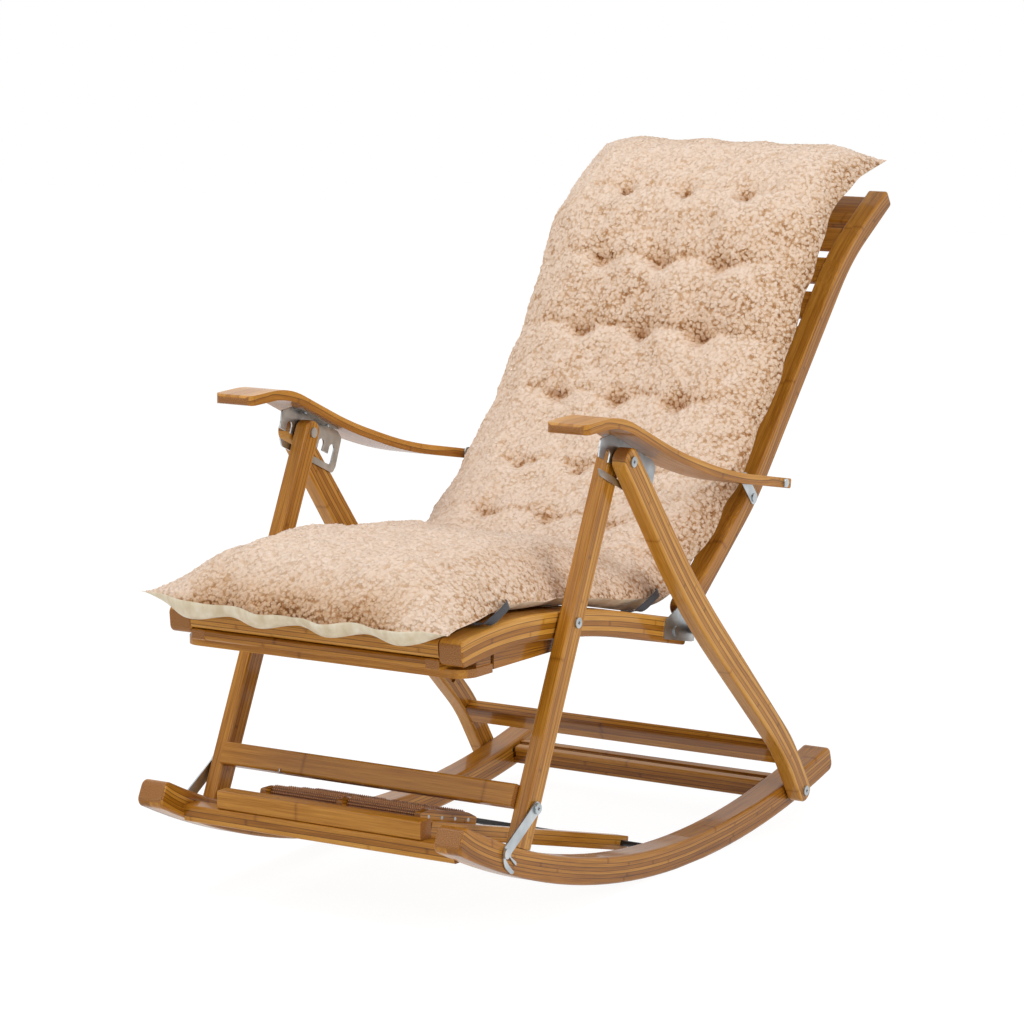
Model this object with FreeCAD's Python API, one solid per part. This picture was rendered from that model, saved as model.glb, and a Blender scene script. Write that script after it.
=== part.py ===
import FreeCAD, Part
import math
import os

# Folding rocking chair in bent bamboo, with a reclining back, a pull-out
# footrest, a roller foot rest and a tufted pad. Millimetres. X runs across the
# chair, the sitter faces -Y and Z is up. The right side is built and mirrored.
# Shapes are first built with Y from the top pivots' side view and Z from the
# lowest point of the rockers. At the end all of them move together, so that
# the origin is the middle of the footprint box at floor level.

# Rockers
ROCKER_FRONT_RADIUS = 1280.0
ROCKER_REAR_RADIUS = 1450.0
ROCKER_DEPTH = 36.0
ROCKER_WIDTH = 40.0
ROCKER_INNER_X = 210.0
ROCKER_LOWEST_Y = 13.0
ROCKER_FRONT_REACH = 566.0
ROCKER_REAR_REACH = 400.0
ROCKER_FLAT = 70.0
ROCKER_TIP_ROUND = 11.0
ROCKER_EDGE_ROUND = 4.0
# Rails that join the rockers, and the rod that carries the foot rest
FRONT_RAIL_REACH = 501.0
FRONT_RAIL_HEIGHT = 22.0
FRONT_RAIL_DEPTH = 28.0
FRONT_RAIL_DROP = 7.0
REAR_RAIL_REACH = 286.0
REAR_RAIL_HEIGHT = 26.0
REAR_RAIL_DEPTH = 34.0
RAIL_GROOVE_WIDTH = 10.0
RAIL_GROOVE_DEPTH = 3.0
BAR_ROUND = 3.0
PEDAL_ROD_REACH = 30.0
PEDAL_ROD_Z = 23.0
PEDAL_ROD_RADIUS = 4.0
PEDAL_ROD_GRIP = 12.0
# Rear legs, bent in a gentle S
REAR_PIVOT_REACH = 272.0
REAR_PIVOT_LIFT = 7.0
TOP_PIVOT_Y = -186.0
TOP_PIVOT_Z = 573.0
REAR_LEG_THICKNESS = 22.0
REAR_LEG_TOP_DEPTH = 34.0
REAR_LEG_BEND_DEPTH = 41.0
REAR_LEG_FOOT_DEPTH = 32.0
REAR_LEG_UPPER_BEND = (167.0, -210.0)
REAR_LEG_LOWER_BEND = (422.0, -449.0)
REAR_LEG_UPPER_RADIUS = 1200.0
REAR_LEG_LOWER_RADIUS = 250.0
REAR_LEG_FOOT_OVERHANG = 15.0
REAR_BAR_UP = 79.0
REAR_BAR_HEIGHT = 32.0
REAR_BAR_THICKNESS = 18.0
REAR_BAR_FORWARD = 5.0
STAY_ROD_Y = 60.0
STAY_ROD_Z = 311.0
STAY_ROD_RADIUS = 6.0
LEG_SLOT_UP = 160.0
LEG_SLOT_LENGTH = 26.0
LEG_SLOT_WIDTH = 10.0
LEG_SLOT_DEPTH = 5.0
# Front legs
LEG_GAP = 4.6
FRONT_LEG_THICKNESS = 20.0
FRONT_LEG_DEPTH = 32.0
FRONT_LEG_LEAN = 24.72
FRONT_BAR_DOWN = 451.0
FRONT_BAR_HEIGHT = 30.0
FRONT_BAR_THICKNESS = 20.0
FRONT_BAR_FORWARD = 14.0
SEAT_PIVOT_DOWN = 217.0
LEG_EDGE_ROUND = 3.0
# Bolts and running clearances
BOLT_RADIUS = 4.0
BOLT_HEAD_RADIUS = 7.0
BOLT_HEAD = 2.5
PIN_CLEARANCE = 0.05
SIDE_CLEARANCE = 0.4
SEAT_CLEARANCE = 0.3
# Latch links between front legs and rockers
LATCH_PIVOT_DOWN = 460.0
LATCH_STUD_REACH = 463.0
LATCH_STUD_LIFT = 6.0
LATCH_WIDTH = 17.0
LATCH_THICKNESS = 2.0
LATCH_STUD_RADIUS = 3.5
LATCH_ELBOW = 92.0
LATCH_TIP = 31.0
LATCH_HOLE_CLEARANCE = 0.5
# Seat frame
SEAT_RAIL_WIDTH = 35.0
SEAT_RAIL_DEPTH = 35.0
SEAT_RAIL_PATH = ((-508.0, 369.0), (-385.0, 381.0), (-205.0, 364.0), (37.0, 311.0))
SEAT_RAIL_RADII = (0.0, 600.0, 1200.0, 0.0)
SEAT_RAIL_GAP = 2.0
SEAT_FRONT_RAIL_HEIGHT = 24.0
SEAT_FRONT_RAIL_DEPTH = 30.0
SEAT_REAR_RAIL_SET = 26.0
SLAT_THICKNESS = 9.0
SLAT_WIDTH = 44.0
SLAT_PITCH = 60.0
SLAT_SINK = 2.0
BOARD_THICKNESS = 11.0
BOARD_DEPTH = 64.0
BOARD_END_ROUND = 26.0
BOARD_HANGER = 14.0
# Footrest that slides out below the seat
FOOTREST_HEIGHT = 14.0
FOOTREST_RAIL = 26.0
FOOTREST_LENGTH = 300.0
FOOTREST_END_BLOCK = 20.0
FOOTREST_SLATS = 5
FOOTREST_TRAVEL = 190.0
# Hook plates and back pivot
PLATE_THICKNESS = 1.5
PLATE_CLEARANCE = 0.2
BACK_PIVOT_Y = 54.0
BACK_PIVOT_Z = 347.0
HOOK_LIP = 8.0
HOOK_BOLT_SET = 32.0
# Back frame, bent in an S
BACK_RAIL_WIDTH = 30.0
BACK_RAIL_DEPTH = 26.0
BACK_RAIL_BENDS = ((165.8, 131.6), (433.8, 440.0))
BACK_RAIL_TOP = (554.0, 514.5)
BACK_RAIL_LIFT = -5.0
BACK_RAIL_LOWER_RADIUS = 420.0
BACK_RAIL_UPPER_RADIUS = 330.0
TOP_RAIL_DEPTH = 62.0
TOP_RAIL_THICKNESS = 18.0
TOP_RAIL_SET = 14.0
LOWER_RAIL_SET = 52.0
# Armrests and their toothed brackets
ARM_INNER_X = 228.0
ARM_WIDTH = 62.0
ARM_THICKNESS = 13.5
ARM_PATH = ((-325.0, 630.0), (-240.0, 633.0), (-100.0, 571.0), (40.0, 526.0), (205.0, 496.5))
ARM_RADII = (0.0, 150.0, 900.0, 900.0, 0.0)
ARM_PIVOT_IN = 17.0
ARM_BOLT_RADIUS = 3.0
LINK_THICKNESS = 1.7
LINK_CLEARANCE = 0.2
LINK_WALL = 6.0
LINK_BOLT_GRIP = 16.0
ARM_CORNER_ROUND = 13.0
BRACKET_THICKNESS = 2.0
BRACKET_FLANGE = 13.0
BRACKET_DROP = 57.0
BRACKET_FRONT = 50.0
BRACKET_REAR = 98.0
POCKETS = 6
POCKETS_AHEAD = 2
POCKET_PITCH = 26.4
POCKET_WIDTH = 12.0
POCKET_RISE = 28.0
CHANNEL_HEIGHT = 13.0
# Foot rest frame with massage rollers
PEDAL_HALF_WIDTH = 158.0
PEDAL_RAIL_WIDTH = 20.0
PEDAL_RAIL_HEIGHT = 20.0
PEDAL_FRONT_HEIGHT = 24.0
PEDAL_FRONT_DEPTH = 24.0
PEDAL_REAR_OVERHANG = 16.0
ROLLER_UNIT_BACK = 26.0
ROLLER_ROWS = 4
ROLLER_PITCH = 31.0
ROLLER_CREST = 12.0
ROLLER_VALLEY = 9.0
ROLLER_BEAD = 11.0
ROLLER_SIDES = 12
ROLLER_AXLE = 2.5
ROLLER_GAP = 0.6
END_PLATE = 9.0
END_PLATE_HEIGHT = 22.0
UNIT_HALF_WIDTH = 125.0
# Pad
PAD_HALF_WIDTH = 218.0
PAD_SIDE = 46.0
PAD_CROWN = 68.0
PAD_ROW_DIP = 9.0
PAD_BULGE = 10.0
PAD_ROW_PITCH = 122.0
PAD_SEAT_OVERHANG = 39.25
PAD_TOP_OVERHANG = 14.0
PAD_LIE = 0.6
PAD_END_ROUND = 22.0
PAD_SEAT_FULLNESS = 1.26
PAD_CREASE_FULLNESS = 1.14
PAD_HEAD_FULLNESS = 1.3
PAD_WAIST = 260.0
PAD_HEAD_LIFT = 18.0
PAD_HEAD_START = 340.0
PAD_HEAD_END = 640.0
PAD_HEAD_ROW = 143.0
PAD_BACK_PITCH = 113.0
TUFT_SPACING = 100.0
TUFT_RADIUS = 24.0
TUFT_DEPTH = 13.0

FRONT_LEG_INNER = ARM_INNER_X
FRONT_LEG_OUTER = FRONT_LEG_INNER + FRONT_LEG_THICKNESS
REAR_LEG_INNER = FRONT_LEG_OUTER + LEG_GAP
REAR_LEG_OUTER = REAR_LEG_INNER + REAR_LEG_THICKNESS
ROCKER_OUTER_X = ROCKER_INNER_X + ROCKER_WIDTH
SEAT_OUTER = FRONT_LEG_INNER - SEAT_RAIL_GAP
SEAT_INNER = SEAT_OUTER - SEAT_RAIL_WIDTH
BACK_OUTER = SEAT_OUTER - SIDE_CLEARANCE
BACK_INNER = BACK_OUTER - BACK_RAIL_WIDTH
BORE_RADIUS = BOLT_RADIUS + PIN_CLEARANCE


def vec(x, p):
    return FreeCAD.Vector(x, p[0], p[1])


def add(p, q, k=1.0):
    return (p[0] + k * q[0], p[1] + k * q[1])


def unit(p, q):
    length = math.hypot(q[0] - p[0], q[1] - p[1])
    return ((q[0] - p[0]) / length, (q[1] - p[1]) / length)


def left(d):
    return (-d[1], d[0])


def polar(angle):
    a = math.radians(angle)
    return (math.cos(a), math.sin(a))


def corner(a, b, c, radius):
    """Start, middle and end of the arc that rounds corner b of a line a-b-c."""
    u = unit(b, a)
    w = unit(b, c)
    cosine = max(-1.0, min(1.0, u[0] * w[0] + u[1] * w[1]))
    half = 0.5 * math.acos(cosine)
    if radius <= 0.0 or half > 0.4999 * math.pi:
        return b, None, b
    cut = radius / math.tan(half)
    mid = unit((0.0, 0.0), (u[0] + w[0], u[1] + w[1]))
    reach = radius / math.sin(half) - radius
    return add(b, u, cut), add(b, mid, reach), add(b, w, cut)


def outline(points, radii):
    """Closed wire in the side plane: straight runs joined by tangent arcs."""
    count = len(points)
    corners = [corner(points[i - 1], points[i], points[(i + 1) % count], radii[i]) for i in range(count)]
    edges = []
    for i in range(count):
        start, middle, end = corners[i]
        before = corners[i - 1][2]
        if math.hypot(start[0] - before[0], start[1] - before[1]) > 1e-6:
            edges.append(Part.LineSegment(vec(0, before), vec(0, start)).toShape())
        if middle is not None:
            edges.append(Part.Arc(vec(0, start), vec(0, middle), vec(0, end)).toShape())
    return Part.Wire(edges)


def plate(points, radii, x0, x1):
    """Flat piece with that outline between two planes of constant X."""
    if not isinstance(radii, (list, tuple)):
        radii = [radii] * len(points)
    face = Part.Face(outline(points, radii))
    face.translate(FreeCAD.Vector(x0, 0, 0))
    return face.extrude(FreeCAD.Vector(x1 - x0, 0, 0))


def strip_sides(path, depths):
    """Points on both sides of a path, half the depth away at each bend."""
    above = []
    below = []
    last = len(path) - 1
    for i in range(last + 1):
        u = unit(path[max(i - 1, 0)], path[max(i, 1)])
        w = unit(path[min(i, last - 1)], path[min(i + 1, last)])
        across = left(unit((0.0, 0.0), (u[0] + w[0], u[1] + w[1])))
        turn = left(u)
        reach = 0.5 * depths[i] / (across[0] * turn[0] + across[1] * turn[1])
        above.append(add(path[i], across, reach))
        below.append(add(path[i], across, -reach))
    return above, below


def strip(path, radii, depths, ends, x0, x1):
    """Bent bar: a path with rounded bends, its depth given at each point."""
    above, below = strip_sides(path, depths)
    upper = []
    lower = []
    for i in range(1, len(path) - 1):
        u = unit(path[i - 1], path[i])
        w = unit(path[i], path[i + 1])
        side = 1.0 if u[0] * w[1] - u[1] * w[0] > 0 else -1.0
        upper.append(radii[i] - side * 0.5 * depths[i])
        lower.append(radii[i] + side * 0.5 * depths[i])
    points = above + below[::-1]
    rounds = [ends[0]] + upper + [ends[1], ends[1]] + lower[::-1] + [ends[0]]
    return plate(points, rounds, x0, x1)


def box_outline(centre, along, length, height):
    """Corners of a rectangle that lies along a direction of the side plane."""
    d = polar(along)
    n = left(d)
    corners = []
    for a, b in ((-1, -1), (1, -1), (1, 1), (-1, 1)):
        corners.append(add(add(centre, d, 0.5 * a * length), n, 0.5 * b * height))
    return corners


def bar(centre, along, length, height, x0, x1, radius=BAR_ROUND):
    """Straight bar across the chair with a rounded rectangular section."""
    return plate(box_outline(centre, along, length, height), min(radius, 0.45 * min(length, height)), x0, x1)


def rod(centre, radius, x0, x1):
    return Part.makeCylinder(radius, x1 - x0, vec(x0, centre), FreeCAD.Vector(1, 0, 0))


def soften(shape, radius, keep=lambda edge: True):
    """Round the edges that bound the two side faces of a flat piece."""
    box = shape.BoundBox
    chosen = []
    for edge in shape.Edges:
        b = edge.BoundBox
        flat = b.XLength < 1e-4 and (abs(b.XMin - box.XMin) < 1e-4 or abs(b.XMax - box.XMax) < 1e-4)
        if flat and keep(edge):
            chosen.append(edge)
    return shape.makeFillet(min(radius, 0.3 * box.XLength), chosen)


def mirrored(shape):
    return shape.mirror(FreeCAD.Vector(0, 0, 0), FreeCAD.Vector(1, 0, 0))


def path_runs(points, radii):
    """Lines and arcs of an open path as (length, function of distance)."""
    last = len(points) - 1
    runs = []
    start = points[0]
    for i in range(1, last + 1):
        if i < last:
            a, m, b = corner(points[i - 1], points[i], points[i + 1], radii[i])
        else:
            a, m, b = points[i], None, points[i]
        d = unit(points[i - 1], points[i])
        runs.append((math.hypot(a[0] - start[0], a[1] - start[1]), start, d, 0.0))
        if m is not None:
            w = unit(points[i], points[i + 1])
            turn = math.atan2(d[0] * w[1] - d[1] * w[0], d[0] * w[0] + d[1] * w[1])
            runs.append((abs(turn) * radii[i], a, d, math.copysign(1.0 / radii[i], turn)))
        start = b
    return runs


def path_at(runs, distance):
    """Point and direction at a distance along a path's runs."""
    for index, (length, start, d, bend) in enumerate(runs):
        if distance <= length or index == len(runs) - 1:
            if bend == 0.0:
                return add(start, d, distance), d
            turn = bend * distance
            w = (d[0] * math.cos(turn) - d[1] * math.sin(turn), d[0] * math.sin(turn) + d[1] * math.cos(turn))
            ahead = math.sin(turn) / bend
            aside = (1.0 - math.cos(turn)) / bend
            return add(add(start, d, ahead), left(d), aside), w
        distance -= length


def path_length(runs):
    return sum(run[0] for run in runs)


# Main points of the side view
def rocker_point(reach, depth_up):
    """Point over the rocker's bottom line at a signed reach from its lowest point."""
    radius = ROCKER_FRONT_RADIUS if reach < 0 else ROCKER_REAR_RADIUS
    inner = radius - depth_up
    return (ROCKER_LOWEST_Y + reach, radius - math.sqrt(inner * inner - reach * reach))


def rocker_tilt(reach):
    radius = ROCKER_FRONT_RADIUS if reach < 0 else ROCKER_REAR_RADIUS
    return math.degrees(math.asin(reach / radius))


TOP = (TOP_PIVOT_Y, TOP_PIVOT_Z)
REAR_PIVOT = add(rocker_point(REAR_PIVOT_REACH, 0.5 * ROCKER_DEPTH), (0.0, REAR_PIVOT_LIFT))
LEG_DOWN = (-math.sin(math.radians(FRONT_LEG_LEAN)), -math.cos(math.radians(FRONT_LEG_LEAN)))
LEG_FRONT = (LEG_DOWN[1], -LEG_DOWN[0])
SEAT_PIVOT = add(TOP, LEG_DOWN, SEAT_PIVOT_DOWN)
LATCH_PIVOT = add(TOP, LEG_DOWN, LATCH_PIVOT_DOWN)
BACK_PIVOT = (BACK_PIVOT_Y, BACK_PIVOT_Z)
STAY = (STAY_ROD_Y, STAY_ROD_Z)
PEDAL_ROD = (ROCKER_LOWEST_Y - PEDAL_ROD_REACH, PEDAL_ROD_Z)
LATCH_STUD = add(rocker_point(-LATCH_STUD_REACH, 0.5 * ROCKER_DEPTH), (0.0, LATCH_STUD_LIFT))

REAR_LEG_PATH = [TOP, add(TOP, REAR_LEG_UPPER_BEND), add(TOP, REAR_LEG_LOWER_BEND), REAR_PIVOT]
BACK_START = add(BACK_PIVOT, (0.0, BACK_RAIL_LIFT))
BACK_PATH = [BACK_START] + [add(BACK_START, b) for b in BACK_RAIL_BENDS] + [add(BACK_START, BACK_RAIL_TOP)]
BACK_RADII = (0.0, BACK_RAIL_LOWER_RADIUS, BACK_RAIL_UPPER_RADIUS, 0.0)
ARM_RUNS = path_runs(ARM_PATH, ARM_RADII)
ARM_PIVOT = path_at(ARM_RUNS, path_length(ARM_RUNS) - ARM_PIVOT_IN)[0]


def build_rocker():
    """One bent runner: two tangent arcs with a short flat at the lowest point."""
    half = 0.5 * ROCKER_FLAT
    flat_front = rocker_point(-half, 0.0)
    flat_rear = rocker_point(half, 0.0)
    level = max(flat_front[1], flat_rear[1])
    flat_front = (flat_front[0], level)
    flat_rear = (flat_rear[0], level)
    front = -ROCKER_FRONT_REACH
    rear = ROCKER_REAR_REACH
    front_up = front * (ROCKER_FRONT_RADIUS - ROCKER_DEPTH) / ROCKER_FRONT_RADIUS
    rear_up = rear * (ROCKER_REAR_RADIUS - ROCKER_DEPTH) / ROCKER_REAR_RADIUS
    crown = (ROCKER_LOWEST_Y, ROCKER_DEPTH)

    def arc(a, m, b):
        return Part.Arc(vec(0, a), vec(0, m), vec(0, b)).toShape()

    def line(a, b):
        return Part.LineSegment(vec(0, a), vec(0, b)).toShape()

    low_front = rocker_point(front, 0.0)
    low_rear = rocker_point(rear, 0.0)
    top_front = rocker_point(front_up, ROCKER_DEPTH)
    top_rear = rocker_point(rear_up, ROCKER_DEPTH)
    wire = Part.Wire([
        arc(low_front, rocker_point(0.5 * (front - half), 0.0), flat_front),
        line(flat_front, flat_rear),
        arc(flat_rear, rocker_point(0.5 * (rear + half), 0.0), low_rear),
        line(low_rear, top_rear),
        arc(top_rear, rocker_point(0.5 * rear_up, ROCKER_DEPTH), crown),
        arc(crown, rocker_point(0.5 * front_up, ROCKER_DEPTH), top_front),
        line(top_front, low_front),
    ])
    face = Part.Face(wire)
    face.translate(FreeCAD.Vector(ROCKER_INNER_X, 0, 0))
    body = face.extrude(FreeCAD.Vector(ROCKER_WIDTH, 0, 0))
    tips = []
    for edge in body.Edges:
        b = edge.BoundBox
        if b.XLength > 0.5 * ROCKER_WIDTH and (b.YMax < top_front[0] + 1.0 or b.YMin > top_rear[0] - 1.0):
            if b.YLength < 1.0:
                tips.append(edge)
    body = body.makeFillet(min(ROCKER_TIP_ROUND, 0.4 * ROCKER_DEPTH), tips)
    body = soften(body, ROCKER_EDGE_ROUND)
    body = body.cut(rod(REAR_PIVOT, BORE_RADIUS, ROCKER_INNER_X - 1.0, ROCKER_OUTER_X + 1.0))
    body = body.cut(rod(PEDAL_ROD, PEDAL_ROD_RADIUS, ROCKER_INNER_X - 1.0, ROCKER_INNER_X + PEDAL_ROD_GRIP))
    body = body.cut(rod(LATCH_STUD, LATCH_STUD_RADIUS, ROCKER_OUTER_X - PEDAL_ROD_GRIP, ROCKER_OUTER_X + 1.0))
    return body


def build_front_cross_rail():
    centre = add(rocker_point(-FRONT_RAIL_REACH, 0.5 * ROCKER_DEPTH), (0.0, -FRONT_RAIL_DROP))
    return bar(centre, 0.0, FRONT_RAIL_DEPTH, FRONT_RAIL_HEIGHT, -ROCKER_INNER_X, ROCKER_INNER_X)


def front_rail_top():
    centre = rocker_point(-FRONT_RAIL_REACH, 0.5 * ROCKER_DEPTH)
    return (centre[0], centre[1] - FRONT_RAIL_DROP + 0.5 * FRONT_RAIL_HEIGHT)


def build_rear_cross_rail():
    """Rail with a shallow groove along its upper face."""
    centre = rocker_point(REAR_RAIL_REACH, 0.5 * ROCKER_DEPTH)
    tilt = rocker_tilt(REAR_RAIL_REACH)
    body = bar(centre, tilt, REAR_RAIL_DEPTH, REAR_RAIL_HEIGHT, -ROCKER_INNER_X, ROCKER_INNER_X)
    top = add(centre, left(polar(tilt)), 0.5 * REAR_RAIL_HEIGHT)
    groove = bar(top, tilt, RAIL_GROOVE_WIDTH, 2.0 * RAIL_GROOVE_DEPTH, -ROCKER_INNER_X - 1.0, ROCKER_INNER_X + 1.0, 1.0)
    body = body.cut(groove)
    reach = BOLT_HEAD_RADIUS
    near = rod(REAR_PIVOT, BORE_RADIUS + reach, ROCKER_INNER_X - 2.0 * BOLT_HEAD, ROCKER_INNER_X + 1.0)
    return body.cut(near).cut(mirrored(near))


def build_pedal_rod():
    x = ROCKER_INNER_X + PEDAL_ROD_GRIP
    return rod(PEDAL_ROD, PEDAL_ROD_RADIUS, -x, x)


def latch_x():
    start = max(ROCKER_OUTER_X, FRONT_LEG_OUTER) + SIDE_CLEARANCE
    return start, start + LATCH_THICKNESS


def build_latch_stud():
    x0, x1 = latch_x()
    stud = rod(LATCH_STUD, LATCH_STUD_RADIUS, ROCKER_OUTER_X - PEDAL_ROD_GRIP, x1 + SIDE_CLEARANCE)
    head = rod(LATCH_STUD, LATCH_STUD_RADIUS + 3.0, x1 + SIDE_CLEARANCE, x1 + SIDE_CLEARANCE + BOLT_HEAD)
    return stud.fuse(head).removeSplitter()


def build_rear_leg():
    """Outer leg sawn to an S, widest at its upper bend, with a catch slot."""
    path = list(REAR_LEG_PATH)
    up = unit(path[1], path[0])
    down = unit(path[2], path[3])
    path[0] = add(path[0], up, 0.5 * REAR_LEG_TOP_DEPTH)
    path[3] = add(path[3], down, REAR_LEG_FOOT_OVERHANG)
    depths = (REAR_LEG_TOP_DEPTH, REAR_LEG_BEND_DEPTH, REAR_LEG_FOOT_DEPTH, REAR_LEG_FOOT_DEPTH)
    radii = (0.0, REAR_LEG_UPPER_RADIUS, REAR_LEG_LOWER_RADIUS, 0.0)
    ends = (0.46 * REAR_LEG_TOP_DEPTH, 0.46 * REAR_LEG_FOOT_DEPTH)
    body = strip(path, radii, depths, ends, REAR_LEG_INNER, REAR_LEG_OUTER)
    body = soften(body, LEG_EDGE_ROUND)
    body = body.cut(rod(REAR_PIVOT, BOLT_RADIUS, REAR_LEG_INNER - 1.0, REAR_LEG_OUTER + 1.0))
    body = body.cut(rod(TOP, BOLT_RADIUS, REAR_LEG_INNER - 1.0, REAR_LEG_OUTER + 1.0))
    body = body.cut(rod(STAY, STAY_ROD_RADIUS, REAR_LEG_INNER - 1.0, REAR_LEG_INNER + PEDAL_ROD_GRIP))
    centre, along = rear_leg_spot(LEG_SLOT_UP)
    angle = math.degrees(math.atan2(along[1], along[0]))
    slot = bar(centre, angle, LEG_SLOT_LENGTH, LEG_SLOT_WIDTH, REAR_LEG_INNER - 1.0, REAR_LEG_INNER + LEG_SLOT_DEPTH, 4.0)
    return body.cut(slot)


def rear_leg_spot(up):
    """Point of the rear leg's centre line at a distance up from its lower pivot."""
    runs = path_runs(REAR_LEG_PATH[::-1], (0.0, REAR_LEG_LOWER_RADIUS, REAR_LEG_UPPER_RADIUS, 0.0))
    return path_at(runs, up)


def build_rear_bar():
    centre, along = rear_leg_spot(REAR_BAR_UP)
    centre = add(centre, left(along), REAR_BAR_FORWARD)
    angle = math.degrees(math.atan2(along[1], along[0]))
    return bar(centre, angle, REAR_BAR_HEIGHT, REAR_BAR_THICKNESS, -REAR_LEG_INNER, REAR_LEG_INNER)


def build_stay_rod():
    x = REAR_LEG_INNER + PEDAL_ROD_GRIP
    return rod(STAY, STAY_ROD_RADIUS, -x, x)


def build_rear_bolt():
    """Pivot bolt through the rocker and rear leg, its head outside."""
    shank = rod(REAR_PIVOT, BOLT_RADIUS, ROCKER_INNER_X + 1.0, REAR_LEG_OUTER + 0.5 * BOLT_HEAD)
    head = rod(REAR_PIVOT, BOLT_HEAD_RADIUS, REAR_LEG_OUTER, REAR_LEG_OUTER + BOLT_HEAD)
    washer = rod(REAR_PIVOT, BOLT_HEAD_RADIUS + 1.0, ROCKER_OUTER_X + SIDE_CLEARANCE, REAR_LEG_INNER)
    return shank.fuse(head).fuse(washer).removeSplitter()


def cheek_x():
    middle = FRONT_LEG_OUTER + 0.5 * LEG_GAP
    return middle - 0.5 * BRACKET_THICKNESS, middle + 0.5 * BRACKET_THICKNESS


def build_top_bolt_outer():
    """Half of the top pivot that sits in the rear leg."""
    inner = cheek_x()[1] + SIDE_CLEARANCE
    shank = rod(TOP, BOLT_RADIUS, inner, REAR_LEG_OUTER + 0.5 * BOLT_HEAD)
    return shank.fuse(rod(TOP, BOLT_HEAD_RADIUS, REAR_LEG_OUTER, REAR_LEG_OUTER + BOLT_HEAD)).removeSplitter()


def build_top_bolt_inner():
    """Half of the top pivot that sits in the front leg."""
    outer = cheek_x()[0] - SIDE_CLEARANCE
    shank = rod(TOP, BOLT_RADIUS, FRONT_LEG_INNER - 0.5 * BOLT_HEAD, outer)
    return shank.fuse(rod(TOP, BOLT_HEAD_RADIUS, FRONT_LEG_INNER - BOLT_HEAD, FRONT_LEG_INNER)).removeSplitter()


def foot_cutter():
    """Everything below the rocker's top face, raised by the foot's clearance."""
    centre = FreeCAD.Vector(FRONT_LEG_INNER - 5.0, ROCKER_LOWEST_Y, ROCKER_FRONT_RADIUS)
    radius = ROCKER_FRONT_RADIUS - ROCKER_DEPTH - SEAT_CLEARANCE
    drum = Part.makeCylinder(radius, FRONT_LEG_THICKNESS + 10.0, centre, FreeCAD.Vector(1, 0, 0))
    return drum


def build_front_leg():
    """Straight inner leg, its foot cut to the top of the rocker."""
    reach = TOP_PIVOT_Z / math.cos(math.radians(FRONT_LEG_LEAN))
    path = [add(TOP, LEG_DOWN, -0.5 * FRONT_LEG_DEPTH), add(TOP, LEG_DOWN, reach)]
    depths = (FRONT_LEG_DEPTH, FRONT_LEG_DEPTH)
    body = strip(path, (0.0, 0.0), depths, (0.46 * FRONT_LEG_DEPTH, 0.0), FRONT_LEG_INNER, FRONT_LEG_OUTER)
    body = body.common(foot_cutter())
    body = soften(body, LEG_EDGE_ROUND, lambda edge: edge.BoundBox.ZLength > 12.0 or edge.BoundBox.ZMin > 0.5 * TOP_PIVOT_Z)
    body = body.cut(rod(TOP, BOLT_RADIUS, FRONT_LEG_INNER - 1.0, FRONT_LEG_OUTER + 1.0))
    body = body.cut(rod(SEAT_PIVOT, BORE_RADIUS, FRONT_LEG_INNER - 1.0, FRONT_LEG_OUTER + 1.0))
    return body.cut(rod(LATCH_PIVOT, BOLT_RADIUS, FRONT_LEG_OUTER - PEDAL_ROD_GRIP, FRONT_LEG_OUTER + 1.0))


def build_front_bar():
    centre = add(add(TOP, LEG_DOWN, FRONT_BAR_DOWN), LEG_FRONT, FRONT_BAR_FORWARD)
    return bar(centre, 90.0 - FRONT_LEG_LEAN, FRONT_BAR_HEIGHT, FRONT_BAR_THICKNESS, -FRONT_LEG_INNER, FRONT_LEG_INNER)


def build_latch_pivot():
    """Screw that carries a latch link on the front leg, with its spacer."""
    x0, x1 = latch_x()
    shank = rod(LATCH_PIVOT, BOLT_RADIUS, FRONT_LEG_OUTER - PEDAL_ROD_GRIP, x1 + SIDE_CLEARANCE)
    spacer = rod(LATCH_PIVOT, BOLT_HEAD_RADIUS, FRONT_LEG_OUTER, x0 - SIDE_CLEARANCE * 0.75)
    head = rod(LATCH_PIVOT, BOLT_HEAD_RADIUS, x1 + SIDE_CLEARANCE * 0.75, x1 + SIDE_CLEARANCE * 0.75 + BOLT_HEAD)
    return shank.fuse(spacer).fuse(head).removeSplitter()


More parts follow.
